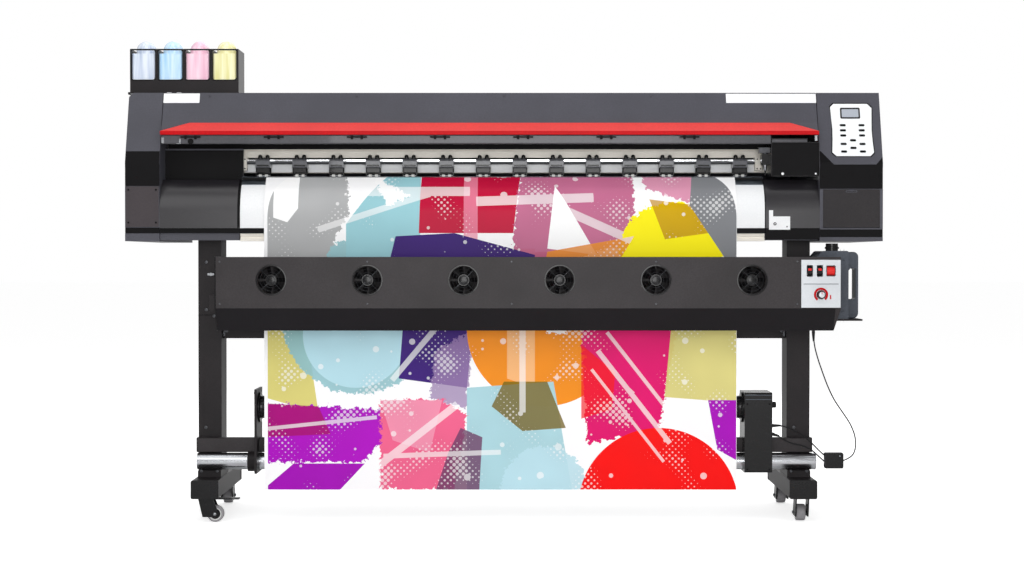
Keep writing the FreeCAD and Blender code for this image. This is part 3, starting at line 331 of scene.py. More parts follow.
def brushed(name, code, shade, rough, axis):
    """Drawn or brushed metal: fine lines along one axis, which stretch the highlights across it."""
    made, tree, place = blank(name)
    along = {"x": (3.0, 420.0, 420.0), "z": (420.0, 420.0, 3.0)}[axis]
    drawn = add(tree, "Mapping", {"Vector": place, "Scale": along})
    lines = add(tree, "TexNoise", {"Vector": drawn.outputs[0], "Scale": 1.0, "Detail": 4.0}).outputs["Fac"]
    return dressed(tree, made, ramp(tree, lines, 0.3, 0.7, shade, code),
                   mapped(tree, lines, rough - 0.06, rough + 0.08),
                   {"Metallic": 1.0, **bumped(tree, lines, 0.3, 0.2)})


def tinted(name, code, shade, rough=0.16):
    """Blow-moulded translucent plastic: tinted and faintly glowing, with flow lines up its walls. The glow is
    painted light: an emission in the tint's colour that stands in for light coming through the walls.
    """
    made, tree, place = blank(name)
    flow = add(tree, "Mapping", {"Vector": place, "Scale": (90.0, 90.0, 6.0)})
    streak = add(tree, "TexNoise", {"Vector": flow.outputs[0], "Scale": 1.0, "Detail": 2.0}).outputs["Fac"]
    colour = ramp(tree, streak, 0.3, 0.65, shade, code)
    return dressed(tree, made, colour, mapped(tree, streak, rough, rough + 0.12),
                   {"Subsurface Weight": 0.5, "Subsurface Radius": (0.05, 0.05, 0.05),
                    "Emission Color": colour, "Emission Strength": 0.12})


def lit_glass(name, code, shade):
    """Display glass over a layer with fine rows of cells."""
    made, tree, place = blank(name)
    cells = add(tree, "TexBrick", {"Vector": place, "Scale": 220.0, "Color1": linear(code),
                                   "Color2": linear(code), "Mortar": linear(shade), "Mortar Size": 0.03})
    return dressed(tree, made, cells.outputs["Color"], 0.12, {"Coat Weight": 0.6})


# Moulded ABS covers in charcoal: a fine leather grain that dulls the highlight. The same charcoal on a strip
# along the top of the left panel is a painted highlight.
CHARCOAL = grained("charcoal_abs_and_painted_highlight", "#515159", "#494950", 5, 0.46, 0.05)
# Baked enamel on sheet steel: the door, the plate on the left housing, and the smoother rounded covers.
DARK_ENAMEL = grained("dark_steel_enamel", "#2f2c2e", "#252224", 4, 0.42, 0.04)
BRONZE_ENAMEL = grained("warm_dark_enamel", "#453f42", "#3d383b", 5, 0.42, 0.01)
NOSE_ENAMEL = grained("semi_gloss_nose_enamel", "#262428", "#1f1d21", 5, 0.32, 0.003, shine=0.6)
# Matt black mouldings set back between the covers. The same black also paints shade: on a plate above the
# rail and on a rim round the keypad.
BLACK_BAND = grained("black_moulding_and_painted_shade", "#100f11", "#080709", 3, 0.5, 0.03, shine=0.1)
# Powder coat on steel tube and case: pebbled and satin.
POWDER_BLACK = grained("black_powder_coat", "#262123", "#191618", 4, 0.42, 0.08)
POWDER_GREY = grained("dark_grey_powder_coat", "#383436", "#2b2829", 4, 0.44, 0.08)
# Injection-moulded nylon with a smooth black skin.
GLOSS_BLACK = grained("black_nylon_moulding", "#171618", "#0e0e0f", 3, 0.26, 0.02, coat=0.15)
# Red acrylic trim on the cover, and the smoked acrylic band under it.
RED_GLOSS = grained("red_gloss_acrylic", "#e22f2b", "#d12624", 8, 0.34, 0.01, shine=0.2)
SMOKED = grained("smoked_cover_band", "#545459", "#46464a", 6, 0.3, 0.02, coat=0.2)
# Pale enamels of the rail and of the sheet-metal apron.
CREAM = grained("cream_rail_enamel", "#f7f2e8", "#efe9de", 5, 0.35, 0.02)
WHITE = grained("white_sheet_enamel", "#f6f7f8", "#eceef0", 5, 0.35, 0.02)
# Metals: anodised bed, whose grey also lies over the apron's rounded top as painted shade, polished take-up
# tube, zinc-plated fasteners.
BED_GREY = brushed("anodised_bed_aluminium_and_painted_shade", "#aab4be", "#98a3ae", 0.34, "x")
TUBE_METAL = brushed("polished_aluminium_tube", "#d8dade", "#b4b6bb", 0.2, "x")
STEEL = brushed("zinc_plated_steel", "#a9abae", "#84868a", 0.3, "z")
# Caster tyre, the pale ring round its hub, and the soft PVC of the cables.
TREAD = grained("grey_polyurethane_tread", "#a3a1a4", "#8d8b8e", 5, 0.4, 0.03)
TYRE_RING = grained("pale_wheel_ring", "#e4e4e2", "#cfcfcd", 4, 0.35, 0.02)
RUBBER = grained("black_pvc_sheath", "#18181a", "#0e0e10", 3, 0.5, 0.02)
# Silver-painted control plate and the satin polyester film of the keypad.
SILVER = grained("silver_control_plate", "#d4d7db", "#c6cace", 3, 0.36, 0.02, metal=0.2)
KEYPAD = grained("pale_keypad_film", "#f7f9fa", "#edf0f2", 5, 0.34, 0.01)
# Blow-moulded polyethylene, calendered vinyl, and two greys of moulded ABS.
CAN = grained("slate_hdpe_can", "#4e535c", "#41454d", 6, 0.4, 0.05)
VINYL = grained("white_vinyl_roll", "#f2f2f2", "#e6e6e8", 6, 0.3, 0.01)
SLATE = grained("slate_grey_moulding", "#5c626b", "#4c525b", 4, 0.4, 0.02)
BLOCK_GREY = grained("grey_gloss_moulding", "#6a6b70", "#54555a", 6, 0.24, 0.02, coat=0.3)
# Coated label paper and a deeper red acrylic: the real red of the dryer knob's scale and marks, and on the
# cover trim's lower lip a painted shade of the red trim.
LABEL = grained("blank_white_label", "#f6f6f6", "#eceef0", 12, 0.4, 0.01)
RED_DEEP = grained("deep_red_acrylic_and_painted_shade", "#cc0c16", "#b20911", 8, 0.4, 0.01, shine=0.1)
# Chromed and blackened steel, drawn along X.
CHROME = brushed("chromed_strip", "#e6e8ea", "#c4c6ca", 0.12, "x")
DARK_STEEL = brushed("blackened_steel", "#5a5b5e", "#3c3d40", 0.32, "x")
# Pressure-roller rubber, a near-black chin on the case that is painted shade, darker than the case's own
# grey, and the edges of the wound layers.
WHEEL_WHITE = grained("white_roller_rubber", "#e9e9e6", "#dcdcd8", 3, 0.4, 0.03)
SHADED_CHIN = grained("painted_shade_chin_enamel", "#151216", "#0e0c0f", 4, 0.5, 0.04)
WOUND = grained("wound_vinyl_edge", "#f0f0f0", "#d8d9dc", 1.2, 0.36, 0.05)
DISPLAY = lit_glass("grey_display_glass", "#b6bcc6", "#9ea5b0")
BOTTLES = [tinted(f"{ink}_bottle_plastic_with_painted_glow", code, shade) for ink, code, shade in (
    ("clear", "#e3eaf4", "#b9c6dc"), ("blue", "#d6ebfe", "#a9d3f5"),
    ("pink", "#f8dbe7", "#ecbcd0"), ("yellow", "#f7f4d2", "#e6e1a2"))]


# --- cables ---

def cable(name, points, diameter):
    """A smooth spline through the cable's own control points, given round section by its bevel."""
    curve = bpy.data.curves.new(name, "CURVE")
    curve.dimensions = "3D"
    line = curve.splines.new("NURBS")
    line.points.add(len(points) - 1)
    for control, place in zip(line.points, points):
        control.co = (place[0] / 1000, place[1] / 1000, place[2] / 1000, 1)
    line.order_u = 3
    line.use_endpoint_u = True
    line.resolution_u = 8
    curve.bevel_depth = diameter / 2
    curve.bevel_resolution = 4
    curve.use_fill_caps = True
    curve.materials.append(RUBBER)
    made = bpy.data.objects.new(name + "_line", curve)
    bpy.context.collection.objects.link(made)
    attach(made, "machine")
    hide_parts(name)
    return made


cable("dryer_cable", [(987, -340, 620), (988, -340, 588), (1000, -338, 541), (1016, -335, 496), (1033, -331,
                                                            451),
                      (1054, -326, 407), (1082, -320, 367), (1110, -313, 328), (1128, -306, 286), (1131,
                                                            -300, 246),
                      (1118, -296, 216), (1090, -295, 206)], 0.004)
cable("takeup_lead_1", [(878, -232, 313), (898, -233, 314), (924, -238, 306), (950, -248, 294), (974, -261,
                                                            278),
                        (996, -275, 258), (1014, -285, 238), (1030, -290, 224)], 0.0044)
cable("takeup_lead_2", [(878, -226, 285), (894, -228, 278), (914, -233, 264), (940, -243, 254), (968, -258,
                                                            250),
                        (992, -274, 240), (1010, -288, 222), (1030, -298, 204)], 0.0044)


# --- printed sheet ---

def sheet_way(count):
    """The sheet's line from its hem to the roll: up, over the nose, across the bed, over the rear edge and
    down. Evenly spaced by length."""
    over_nose = math.degrees(math.asin(91.0 / NOSE_REACH))
    start = NOSE[0] - NOSE_REACH
    corner = [np.array([[start, HEM], [start, NOSE[1]]]),
              arc(NOSE, NOSE_REACH, 180, 180 - over_nose, 40)[1:],
              np.array([[-197.3, BED_HEIGHT], [REAR_EDGE[0], BED_HEIGHT]]),
              arc(REAR_EDGE, REAR_REACH, 90, 0, 24)[1:],
              np.array([[REAR_EDGE[0] + REAR_REACH, ROLL[2]]])]
    return evenly(np.concatenate(corner), count)


def sheet_surface(finish):
    """Two faces 0.4 mm apart along the sheet's line, the front one printed and the back one bare. Below the
    nose it hangs in shallow waves, y = -f^2 (A sin(2 pi x / 610 + phase) + B sin(2 pi x / 233)), where f goes
    from 0 at the nose to 1 at the hem. UV is the distance along both ways in metres."""
    rows, cols = 420, 61
    way, run = sheet_way(rows)
    tangent = np.gradient(way, axis=0)
    tangent /= np.linalg.norm(tangent, axis=1)[:, None]
    outside = np.stack([-tangent[:, 1], tangent[:, 0]], 1)
    x = np.linspace(SHEET_LEFT, SHEET_RIGHT, cols)
    free = np.clip((NOSE[1] - way[:, 1]) / (NOSE[1] - HEM), 0, 1) ** 2 * (way[:, 0] < -200)
    wave = 1.5 * np.sin(2 * np.pi * x / 610 + 0.7) + 0.6 * np.sin(2 * np.pi * x / 233)
    layers = []
    for lift in (0.4, 0.0):
        points = np.zeros((rows, cols, 3))
        points[..., 0] = x[None, :]
        points[..., 1] = (way[:, 0] + lift * outside[:, 0])[:, None] - free[:, None] * wave[None, :]
        points[..., 2] = (way[:, 1] + lift * outside[:, 1])[:, None]
        layers.append(points.reshape(-1, 3))
    size = rows * cols
    front = quads(rows, cols)
    rim = np.concatenate([np.arange(cols), np.arange(1, rows) * cols + cols - 1,
                          (rows - 1) * cols + np.arange(cols - 2, -1, -1), np.arange(rows - 2, 0, -1) * cols])
    after = np.roll(rim, -1)
    faces = np.concatenate([front, front[:, ::-1] + size, np.stack([rim, rim + size, after + size, after],
                                                            1)])
    points, faces = solid(np.concatenate(layers), faces)
    made = piece("media_sheet", (points, faces), finish, "machine", stands_for="media", sharp=60)
    uv = made.data.uv_layers.new(name="UVMap")
    index = np.empty(len(made.data.loops), int)
    made.data.loops.foreach_get("vertex_index", index)
    made.data.materials.append(VINYL)
    starts = np.empty(len(made.data.polygons), int)
    made.data.polygons.foreach_get("loop_start", starts)
    lowest = np.minimum.reduceat(index, starts)
    made.data.polygons.foreach_set("material_index", (lowest >= size).astype(np.int32))
    index %= size
    place = np.stack([x[index % cols] / 1000, run[index // cols] / 1000], 1)
    uv.data.foreach_set("uv", place.astype(np.float32).ravel())
    return made


def outline_mask(tree, place, corners):
    """1 inside a convex outline in metres: the least of the signed distances to its sides is over zero."""
    corners = np.asarray(corners, float)
    middle = corners.mean(0)
    least = None
    for start, end in zip(corners, np.roll(corners, -1, 0)):
        normal = np.array([start[1] - end[1], end[0] - start[0]])
        normal = normal / np.linalg.norm(normal)
        if np.dot(middle - start, normal) < 0:
            normal = -normal
        side = vector(tree, "DOT_PRODUCT", place, (normal[0], normal[1], -float(np.dot(normal, start))))
        least = side if least is None else calc(tree, "MINIMUM", least, side)
    return calc(tree, "GREATER_THAN", least)


def disc_mask(tree, place, centre, radius):
    """1 inside a disc in metres."""
    return calc(tree, "LESS_THAN", vector(tree, "DISTANCE", place, (centre[0], centre[1], 1.0)), radius)


def times(tree, one, other):
    return calc(tree, "MULTIPLY", one, other)


def over(tree, below, code, share):
    """Lays a colour on what is below, by a share from 0 to 1."""
    return add(tree, "Mix", {0: share, 6: below, 7: linear(code)}, data_type="RGBA").outputs[2]


# An abstract test print: flat translucent inks laid one on another, in metres across and up from the hem.
INKS = [
    ("#dcd27c", 1.0, [(-0.78, 0.74), (-0.66, 0.66), (-0.60, 0.25), (-0.78, 0.30)]),
    ("#8fc4cc", 0.9, (-0.47, 0.56, 0.25)),
    ("#b9e1ec", 1.0, (-0.48, 0.50, 0.17)),
    ("#3d1c78", 1.0, [(-0.31, 0.74), (-0.08, 0.74), (-0.12, 0.33), (-0.34, 0.36)]),
    ("#9a7cb0", 0.8, [(-0.22, 0.45), (-0.10, 0.52), (-0.12, 0.26), (-0.24, 0.30)]),
    ("#f4911c", 1.0, (0.13, 0.52, 0.25)),
    ("#fbc389", 0.8, [(0.01, 0.78), (0.10, 0.78), (0.10, 0.33), (0.01, 0.36)]),
    ("#ffffff", 0.9, (0.17, 0.55, 0.05)),
    ("#a9d6df", 0.95, [(-0.12, 0.33), (0.16, 0.35), (0.22, 0.0), (-0.12, 0.0)]),
    ("#7c6a06", 0.9, [(0.0, 0.35), (0.14, 0.35), (0.20, 0.20), (0.06, 0.19), (-0.04, 0.27)]),
    ("#e3106f", 1.0, [(0.24, 0.74), (0.60, 0.74), (0.50, 0.19), (0.27, 0.15)]),
    ("#f40d1a", 0.85, [(0.25, 0.47), (0.36, 0.38), (0.35, 0.26), (0.25, 0.23)]),
    ("#dcd27c", 0.95, [(0.56, 0.74), (0.78, 0.74), (0.78, 0.28), (0.52, 0.30)]),
    ("#b00fc2", 1.0, [(-0.78, 0.28), (-0.40, 0.26), (-0.36, 0.19), (-0.46, 0.09), (-0.78, 0.09)]),
    ("#a80a60", 0.8, [(-0.78, 0.28), (-0.60, 0.27), (-0.56, 0.18), (-0.78, 0.17)]),
    ("#a60fb8", 1.0, [(-0.68, 0.085), (-0.45, 0.085), (-0.53, 0.0), (-0.78, 0.0)]),
    ("#f26690", 1.0, [(-0.40, 0.29), (-0.20, 0.29), (-0.12, 0.24), (-0.16, 0.0), (-0.40, 0.0)]),
    ("#f49db8", 0.75, [(-0.40, 0.29), (-0.20, 0.29), (-0.24, 0.12), (-0.36, 0.16)]),
    ("#73406a", 0.9, [(-0.14, 0.20), (-0.07, 0.17), (-0.08, 0.0), (-0.22, 0.0), (-0.18, 0.12)]),
    ("#bde3ee", 0.9, (0.13, 0.0, 0.14)),
    ("#fb0d0b", 1.0, (0.50, -0.06, 0.26)),
    ("#aa0fbc", 1.0, [(0.66, 0.29), (0.78, 0.29), (0.78, 0.08), (0.69, 0.13)]),
    ("#b2b3b4", 1.0, [(-0.78, 0.74), (-0.58, 0.74), (-0.50, 0.90), (-0.52, 1.13), (-0.78, 1.13)]),
    ("#ffffff", 1.0, [(-0.745, 0.88), (-0.70, 0.865), (-0.665, 0.91), (-0.665, 1.07), (-0.72, 1.07),
                      (-0.745, 1.0)]),
    ("#9ccfd8", 1.0, [(-0.60, 0.74), (-0.27, 0.74), (-0.27, 1.13), (-0.51, 1.13), (-0.51, 0.86)]),
    ("#ffffff", 0.95, [(-0.43, 1.04), (-0.38, 0.92), (-0.30, 0.95)]),
    ("#c2123c", 1.0, [(-0.275, 0.83), (0.03, 0.83), (0.065, 1.13), (-0.265, 1.13)]),
    ("#ef8aa6", 0.75, [(-0.13, 0.80), (-0.085, 0.80), (-0.085, 1.2), (-0.13, 1.2)]),
    ("#c2608a", 0.95, [(0.02, 0.72), (0.12, 0.72), (0.42, 0.80), (0.42, 1.13), (0.065, 1.13)]),
    ("#ffffff", 1.0, [(0.14, 0.78), (0.165, 0.99), (0.30, 0.76)]),
    ("#3a1a72", 1.0, [(-0.38, 0.70), (-0.35, 0.82), (-0.16, 0.83), (0.10, 0.76), (0.10, 0.70)]),
    ("#fff100", 1.0, (0.54, 0.76, 0.17)),
    ("#c79400", 0.85, [(0.47, 0.94), (0.62, 0.92), (0.66, 0.83), (0.52, 0.81)]),
    ("#f0931e", 0.9, [(0.13, 0.72), (0.14, 0.77), (0.42, 0.82), (0.36, 0.72)]),
    ("#da86a8", 0.9, [(0.42, 1.13), (0.62, 1.13), (0.62, 0.92), (0.46, 0.98)]),
    ("#84868a", 1.0, [(0.62, 1.13), (0.76, 1.13), (0.76, 0.74), (0.72, 0.74), (0.60, 0.92)]),
]
# Pale stripes drawn across the inks: a point on each and its direction in degrees.
STRIPES = [(-0.30, 0.97, 0, 0.018), (0.10, 0.94, 2, 0.016), (-0.42, 0.90, 18, 0.010), (0.34, 0.84, -24,
                                                            0.014),
           (0.42, 0.30, -52, 0.008), (0.45, 0.36, -52, 0.006), (0.40, 0.24, -52, 0.005), (-0.24, 0.50, 50,
                                                            0.009),
           (-0.30, 0.16, 38, 0.012), (-0.60, 0.215, 6, 0.006), (0.06, 0.44, 90, 0.010), (-0.2, 0.115, 2,
                                                            0.008)]


def print_finish():
    """Solvent ink on gloss white vinyl. Ragged inks, dots in a 14 mm halftone, drops and stripes, inside
    a white margin that is rounded where the print starts on the nose."""
    made, tree, _ = blank("printed_white_vinyl")
    flat = add(tree, "UVMap", uv_map="UVMap").outputs["UV"]
    one = vector(tree, "ADD", flat, (0.0, 0.0, 1.0))
    shake = add(tree, "TexNoise", {"Vector": flat, "Scale": 55.0, "Detail": 3.0, "Roughness": 0.7})
    ragged = vector(tree, "SUBTRACT", shake.outputs["Color"], (0.5, 0.5, 0.5))
    torn = vector(tree, "ADD", one, vector(tree, "MULTIPLY", ragged, (0.055, 0.055, 0.0)))
    colour = add(tree, "RGB").outputs[0]
    colour.default_value = linear("#fbfbfc")
    for number, (code, share, shape) in enumerate(INKS):
        place = torn if number % 3 == 1 else one
        inside = outline_mask(tree, place, shape) if len(shape) != 3 or hasattr(shape[0], "__len__") else \
            disc_mask(tree, place, shape[:2], shape[2])
        colour = over(tree, colour, code, times(tree, inside, share))
    inked = calc(tree, "LESS_THAN", add(tree, "SeparateColor", {0: colour}).outputs[1], 0.8)
    patch = add(tree, "TexNoise", {"Vector": flat, "Scale": 6.0, "Detail": 1.0}).outputs["Fac"]
    lattice = add(tree, "Mapping", {"Vector": flat, "Rotation": (0, 0, math.radians(45))}).outputs[0]
    cell = add(tree, "TexVoronoi", {"Vector": lattice, "Scale": 70.0, "Randomness": 0.0},
               voronoi_dimensions="2D").outputs["Distance"]
    dots = calc(tree, "LESS_THAN", cell, mapped(tree, patch, 0.0, 0.42, 0.52, 0.68))
    drop = add(tree, "TexVoronoi", {"Vector": flat, "Scale": 17.0}, voronoi_dimensions="2D")
    pick = add(tree, "SeparateColor", {0: drop.outputs["Color"]}).outputs[0]
    drops = calc(tree, "LESS_THAN", drop.outputs["Distance"], mapped(tree, pick, 0.0, 0.2, 0.72, 1.0))
    marks = calc(tree, "MAXIMUM", dots, drops)
    for x, y, degrees, width in STRIPES:
        turn = math.radians(degrees)
        across = (-math.sin(turn), math.cos(turn), x * math.sin(turn) - y * math.cos(turn))
        off = calc(tree, "ABSOLUTE", vector(tree, "DOT_PRODUCT", one, across))
        band = times(tree, calc(tree, "LESS_THAN", off, width), disc_mask(tree, one, (x, y), 0.19))
        marks = calc(tree, "MAXIMUM", marks, band)
    colour = over(tree, colour, "#ffffff", times(tree, times(tree, marks, inked), 0.55))
    colour = over(tree, colour, "#20222a", times(tree, mapped(tree, patch, 0.0, 0.1, 0.3, 0.7), inked))
    corner = []
    for side, at in ((1, SHEET_LEFT / 1000 + 0.115), (-1, SHEET_RIGHT / 1000 - 0.105)):
        beyond = calc(tree, "MAXIMUM", vector(tree, "DOT_PRODUCT", one, (-side, 0.0, side * at)))
        above = calc(tree, "MAXIMUM", vector(tree, "DOT_PRODUCT", one, (0.0, 1.0, -0.875)))
        pair = add(tree, "CombineXYZ", {0: beyond, 1: times(tree, above, 0.62)}).outputs[0]
        corner.append(calc(tree, "GREATER_THAN", vector(tree, "LENGTH", pair), 0.104))
    colour = over(tree, colour, "#fbfbfc", calc(tree, "MAXIMUM", *corner))
    fine = add(tree, "TexNoise", {"Vector": flat, "Scale": 900.0, "Detail": 2.0}).outputs["Fac"]
    return dressed(tree, made, colour, mapped(tree, fine, 0.26, 0.4),
                   {"Specular IOR Level": 0.08, **bumped(tree, fine, 0.15, 0.1)})


sheet_surface(print_finish())


# --- CAD nodes that show ---

for finish, nodes in (
        (CHARCOAL, "body_shell end_housing_left end_housing_right top_cover"),
        (CREAM, "front_extrusion rail_beam"), (KEYPAD, "control_panel"), (WHITE, "apron lift_lever"),
        (NOSE_ENAMEL, "inner_cover_left inner_cover_right"), (BED_GREY, "platen"), (SMOKED, "cover_window"),
        (GLOSS_BLACK, "carriage cutter_holder pinch_arms dryer_knob rocker_1 rocker_2 takeup_drive "
                      "takeup_hub_left takeup_hub_right adapter"),
        (STEEL, "pinch_wheels feed_roller"), (RED_GLOSS, "cover_trim rocker_3"), (DARK_ENAMEL, "right_door"),
        (POWDER_BLACK, "ink_rack stand_left stand_right stand_frame takeup_slide"), (CAN, "waste_bottle"),
        (POWDER_GREY, "dryer_case"), (SILVER, "dryer_panel"), (TUBE_METAL, "takeup_rails"),
        (VINYL, "supply_roll")):
    for node in nodes.split():
        paint(node, finish)
for i, finish in enumerate(BOTTLES, 1):
    paint(f"ink_bottle_{i}", finish)
for i in range(1, 7):
    paint(f"fan_rotor_{i}", GLOSS_BLACK)
CORNERS = ("front_left", "front_right", "rear_left", "rear_right")
for corner in CORNERS:
    paint(f"caster_fork_{corner}", GLOSS_BLACK)
    paint(f"caster_wheel_{corner}", TREAD)


# --- small shapes ---

def framed(outer, inner, axis, low, high):
    """A ring between two outlines with the same number of points, carried along an axis."""
    a, b, along = AXES[axis]
    count = len(outer)
    points = np.zeros((4, count, 3))
    for row, (flat, level) in enumerate(((outer, low), (outer, high), (inner, high), (inner, low))):
        points[row, :, a], points[row, :, b], points[row, :, along] = flat[:, 0], flat[:, 1], level
    return solid(points, quads(4, count, True, True))


def on_front(outline, lift, depth, front=FRONT, foot=1165.0, lean=73 / 232):
    """A plate on a front that is upright below foot and leans back above it, y = front + lean (z - foot). Its
    outline is in X and Z."""
    flat = np.asarray(outline, float)
    y = front + lean * np.maximum(flat[:, 1] - foot, 0)
    points = [np.stack([flat[:, 0], y + shift, flat[:, 1]], 1) for shift in (-lift, depth)]
    return solid(np.concatenate(points), capped(2, len(flat)))


def on_cover(outline, lift, depth):
    """The same on the opening cover, which leans back 40 in 100."""
    return on_front(outline, lift, depth, -225.0, 1297.0, 0.4)


def screw(place, radius, axis="y", way=-1.0):
    """Low round head with a socket in it, facing one way along an axis."""
    profile = [(1.0, 0.0), (1.0, 0.25), (0.9, 0.45), (0.5, 0.5), (0.46, 0.5), (0.4, 0.2), (0.02, 0.18)]
    return lathe([(r * radius, way * h * radius) for r, h in profile], axis, place, 20)


def screws(across, y, up, radius):
    """Screws at every crossing of some X and some Z, on a face at Y."""
    return [screw((x, y, z), radius) for x in across for z in up]


def grip(profile, axis, place, count, bite, segments=72):
    """A turned shape with ribs round it: r (1 + bite cos(count t))."""
    points, faces = lathe(profile, axis, place, segments)
    a, b, _ = AXES[axis]
    off = points[:, [a, b]] - np.array([place[a], place[b]])
    turn = np.arctan2(off[:, 1], off[:, 0])
    points[:, [a, b]] = np.array([place[a], place[b]]) + off * (1 + bite * np.cos(count * turn))[:, None]
    return points, faces


def arc_strip(centre, radii, turns, span, steps=8):
    """Part of a drum's skin about an axis along X: between two radii, two angles in degrees and two X."""
    return prism(crescent(centre, radii, turns, steps), "x", *span)


def soften(node, width, segments=2):
    """Rounds a CAD node's edges by a width in millimetres, once its split corners are joined."""
    made = NODES[node]
    weld = made.modifiers.new("weld", "WELD")
    weld.merge_threshold = 0.00001
    edge = made.modifiers.new("edge", "BEVEL")
    edge.width = width / 1000
    edge.segments = segments
    edge.limit_method = "ANGLE"
    edge.angle_limit = math.radians(40)


# --- body ---

piece("left_band", prism([(-258.6, 1091), (-258.6, 1165), (-246.7, 1203), (-245.9, 1203), (-257.6, 1165.5),
                          (-252.2, 1158), (-252.2, 1091)], "x", -1223.6, -1113.4), BLACK_BAND)
piece("right_band", [
    on_front([(1020.6, 1081.5), (1223.5, 1081.5), (1223.5, 1165), (1207, 1165), (1202, 1159.5), (1066,
                                                            1159.5),
              (1060, 1165), (1020.6, 1165)], 0.6, 7.5),
    on_front([(1020.6, 1165.1), (1060, 1165.1), (1025, 1203), (1020.6, 1203)], 0.6, 1.5),
    on_front([(1207, 1165.1), (1223.5, 1165.1), (1223.5, 1184)], 0.6, 1.5)], BLACK_BAND)
piece("base_bands", [block((-1223.6, -258.4, 937.5), (-1113.4, -254.3, 955.5)),
                     block((1020.4, -258.4, 925.5), (1223.6, -254.3, 949.5))], BLACK_BAND)
piece("base_strips", [block((-1112.6, -255.6, 938.2), (845.6, -252.2, 954.2)),
                      block((846, -255.6, 917.5), (1019.6, -249.8, 954.2))], BLACK_BAND, "machine", 0.6)

KEYPAD_EDGE = [(1075, 1187), (1185, 1187), (1197, 1199), (1194, 1240), (1193, 1275), (1195, 1312), (1197,
                                                            1346),
               (1183, 1360), (1073, 1360), (1062, 1349), (1064, 1312), (1066, 1275), (1065, 1240), (1062,
                                                            1199)]
mid_x, mid_z = KEYPAD_MIDDLE
piece("keypad_surround", on_front(rectangle((1059.2, 1184.3), (1199.8, 1362.8), 2), -0.2, 4.9), CHARCOAL,
      "machine",
      stands_for="control_panel")
# Painted shade: a black rim just outside the keypad film, for the shaded bevel of the recess round it.
piece("keypad_painted_shade_rim", on_front(rounded_outline([(mid_x + 1.045 * (x - mid_x), mid_z + 1.035 * (z - mid_z))
                                               for x, z in KEYPAD_EDGE], 3), 0.3, 1.6), BLACK_BAND,
      "machine", 0.3)
piece("keypad_film", on_front(rounded_outline(KEYPAD_EDGE, 3), 0.7, 1.6), KEYPAD, "machine", 0.5)
piece("display_bezel", on_front(rectangle((1094, 1311), (1158, 1347), 4), 1.3, -0.4), DARK_ENAMEL,
      "machine", 0.3)
piece("display_glass", on_front(rectangle((1099, 1316), (1153, 1342), 2), 1.7, -1.0), DISPLAY, "machine", 0.2)
KEYS = [(x, z) for x in (1100, 1161) for z in (1289, 1272, 1255, 1227, 1202)] + [(1131, 1239), (1131, 1214)]
piece("keypad_keys", [on_front(rectangle((x - 9.5, z - 3.4), (x + 9.5, z + 3.4), 3), 1.5, -0.5) for x,
                      z in KEYS],
      BLACK_BAND, "machine", 0.3)

piece("cover_labels", [on_cover(rectangle((-1110.5, 1363), (-993, 1395), 2), 0.5, 0.4),
                       on_cover(rectangle((724, 1363), (1017.5, 1394), 2), 0.5, 0.4)], LABEL, "top_cover")
piece("cover_rivets", [screw((x, -225 + 0.4 * (1386 - 1297) - 0.4, 1386), 4)
                       for x in (-960, -480, 0, 480)], CHARCOAL, "top_cover")
# Painted shade: the trim's lower lip faces down and forward, so it is given a darker red than the trim above
# it.
piece("trim_lip_painted_shade", prism([(-262.6, 1255.4), (-262.6, 1267.6), (-260.5, 1267.6), (-260.5, 1255.4)], "x",
                        -1109, 1016),
      RED_DEEP, "top_cover", 0.6)
clips = []
for x in np.arange(7) * 268.5 - 1012:
    clips += [block((x - 32, -258.6, 1245.5), (x + 32, -254, 1251)),
              block((x - 20, -259.4, 1241), (x - 12, -254, 1252.5)), block((x + 12, -259.4, 1241), (x + 20,
                                                            -254, 1252.5))]
piece("band_clips", clips, BLACK_BAND, "top_cover", 0.5)
piece("band_port", ring([(9.5, -1.0), (9.5, 1.0), (7.0, 1.0), (7.0, -1.0)], "y", (-1012, -255.6, 1234), 32),
      BLACK_BAND, "top_cover")
piece("band_port_floor", lathe([(7.2, 0.0), (7.2, -0.5), (0.05, -0.5)], "y", (-1012, -255.0, 1234), 32),
      BLACK_BAND,
      "top_cover")
piece("band_tabs", [block((-1049, -257.4, 1226.5), (-1044, -254.5, 1243)),
                    block((-1058, -257.0, 1226.5), (-1044, -254.5, 1229)),
                    block((1004, -252.5, 1236), (1013, -246, 1254)),
                    block((-1106, -257.4, 1228), (-1098, -254.5, 1247))], STEEL, "top_cover", 0.4)

piece("left_panel", block((-1112.5, -152.4, 1114.5), (-857, -150.2, 1211)), BLACK_BAND, "machine", 0.6)
# Painted highlight: a charcoal strip along the black panel's top edge, lighter than the panel, for the bright
# line of light on that edge.
piece("left_panel_painted_highlight", block((-1112.5, -152.8, 1211.3), (-857, -149.8, 1216.2)), CHARCOAL, "machine", 0.6)
piece("right_panel", block((866, -250.6, 1123), (1019, -249.2, 1231)), BLACK_BAND, "machine", 0.5)
piece("right_panel_screws", [screw((901, -250.6, 1130), 4.5), screw((1008, -250.6, 1130), 3.2)], WHITE)
piece("left_panel_screws", screws((-1098, -870), -152.6, (1128, 1198), 3), BLACK_BAND)
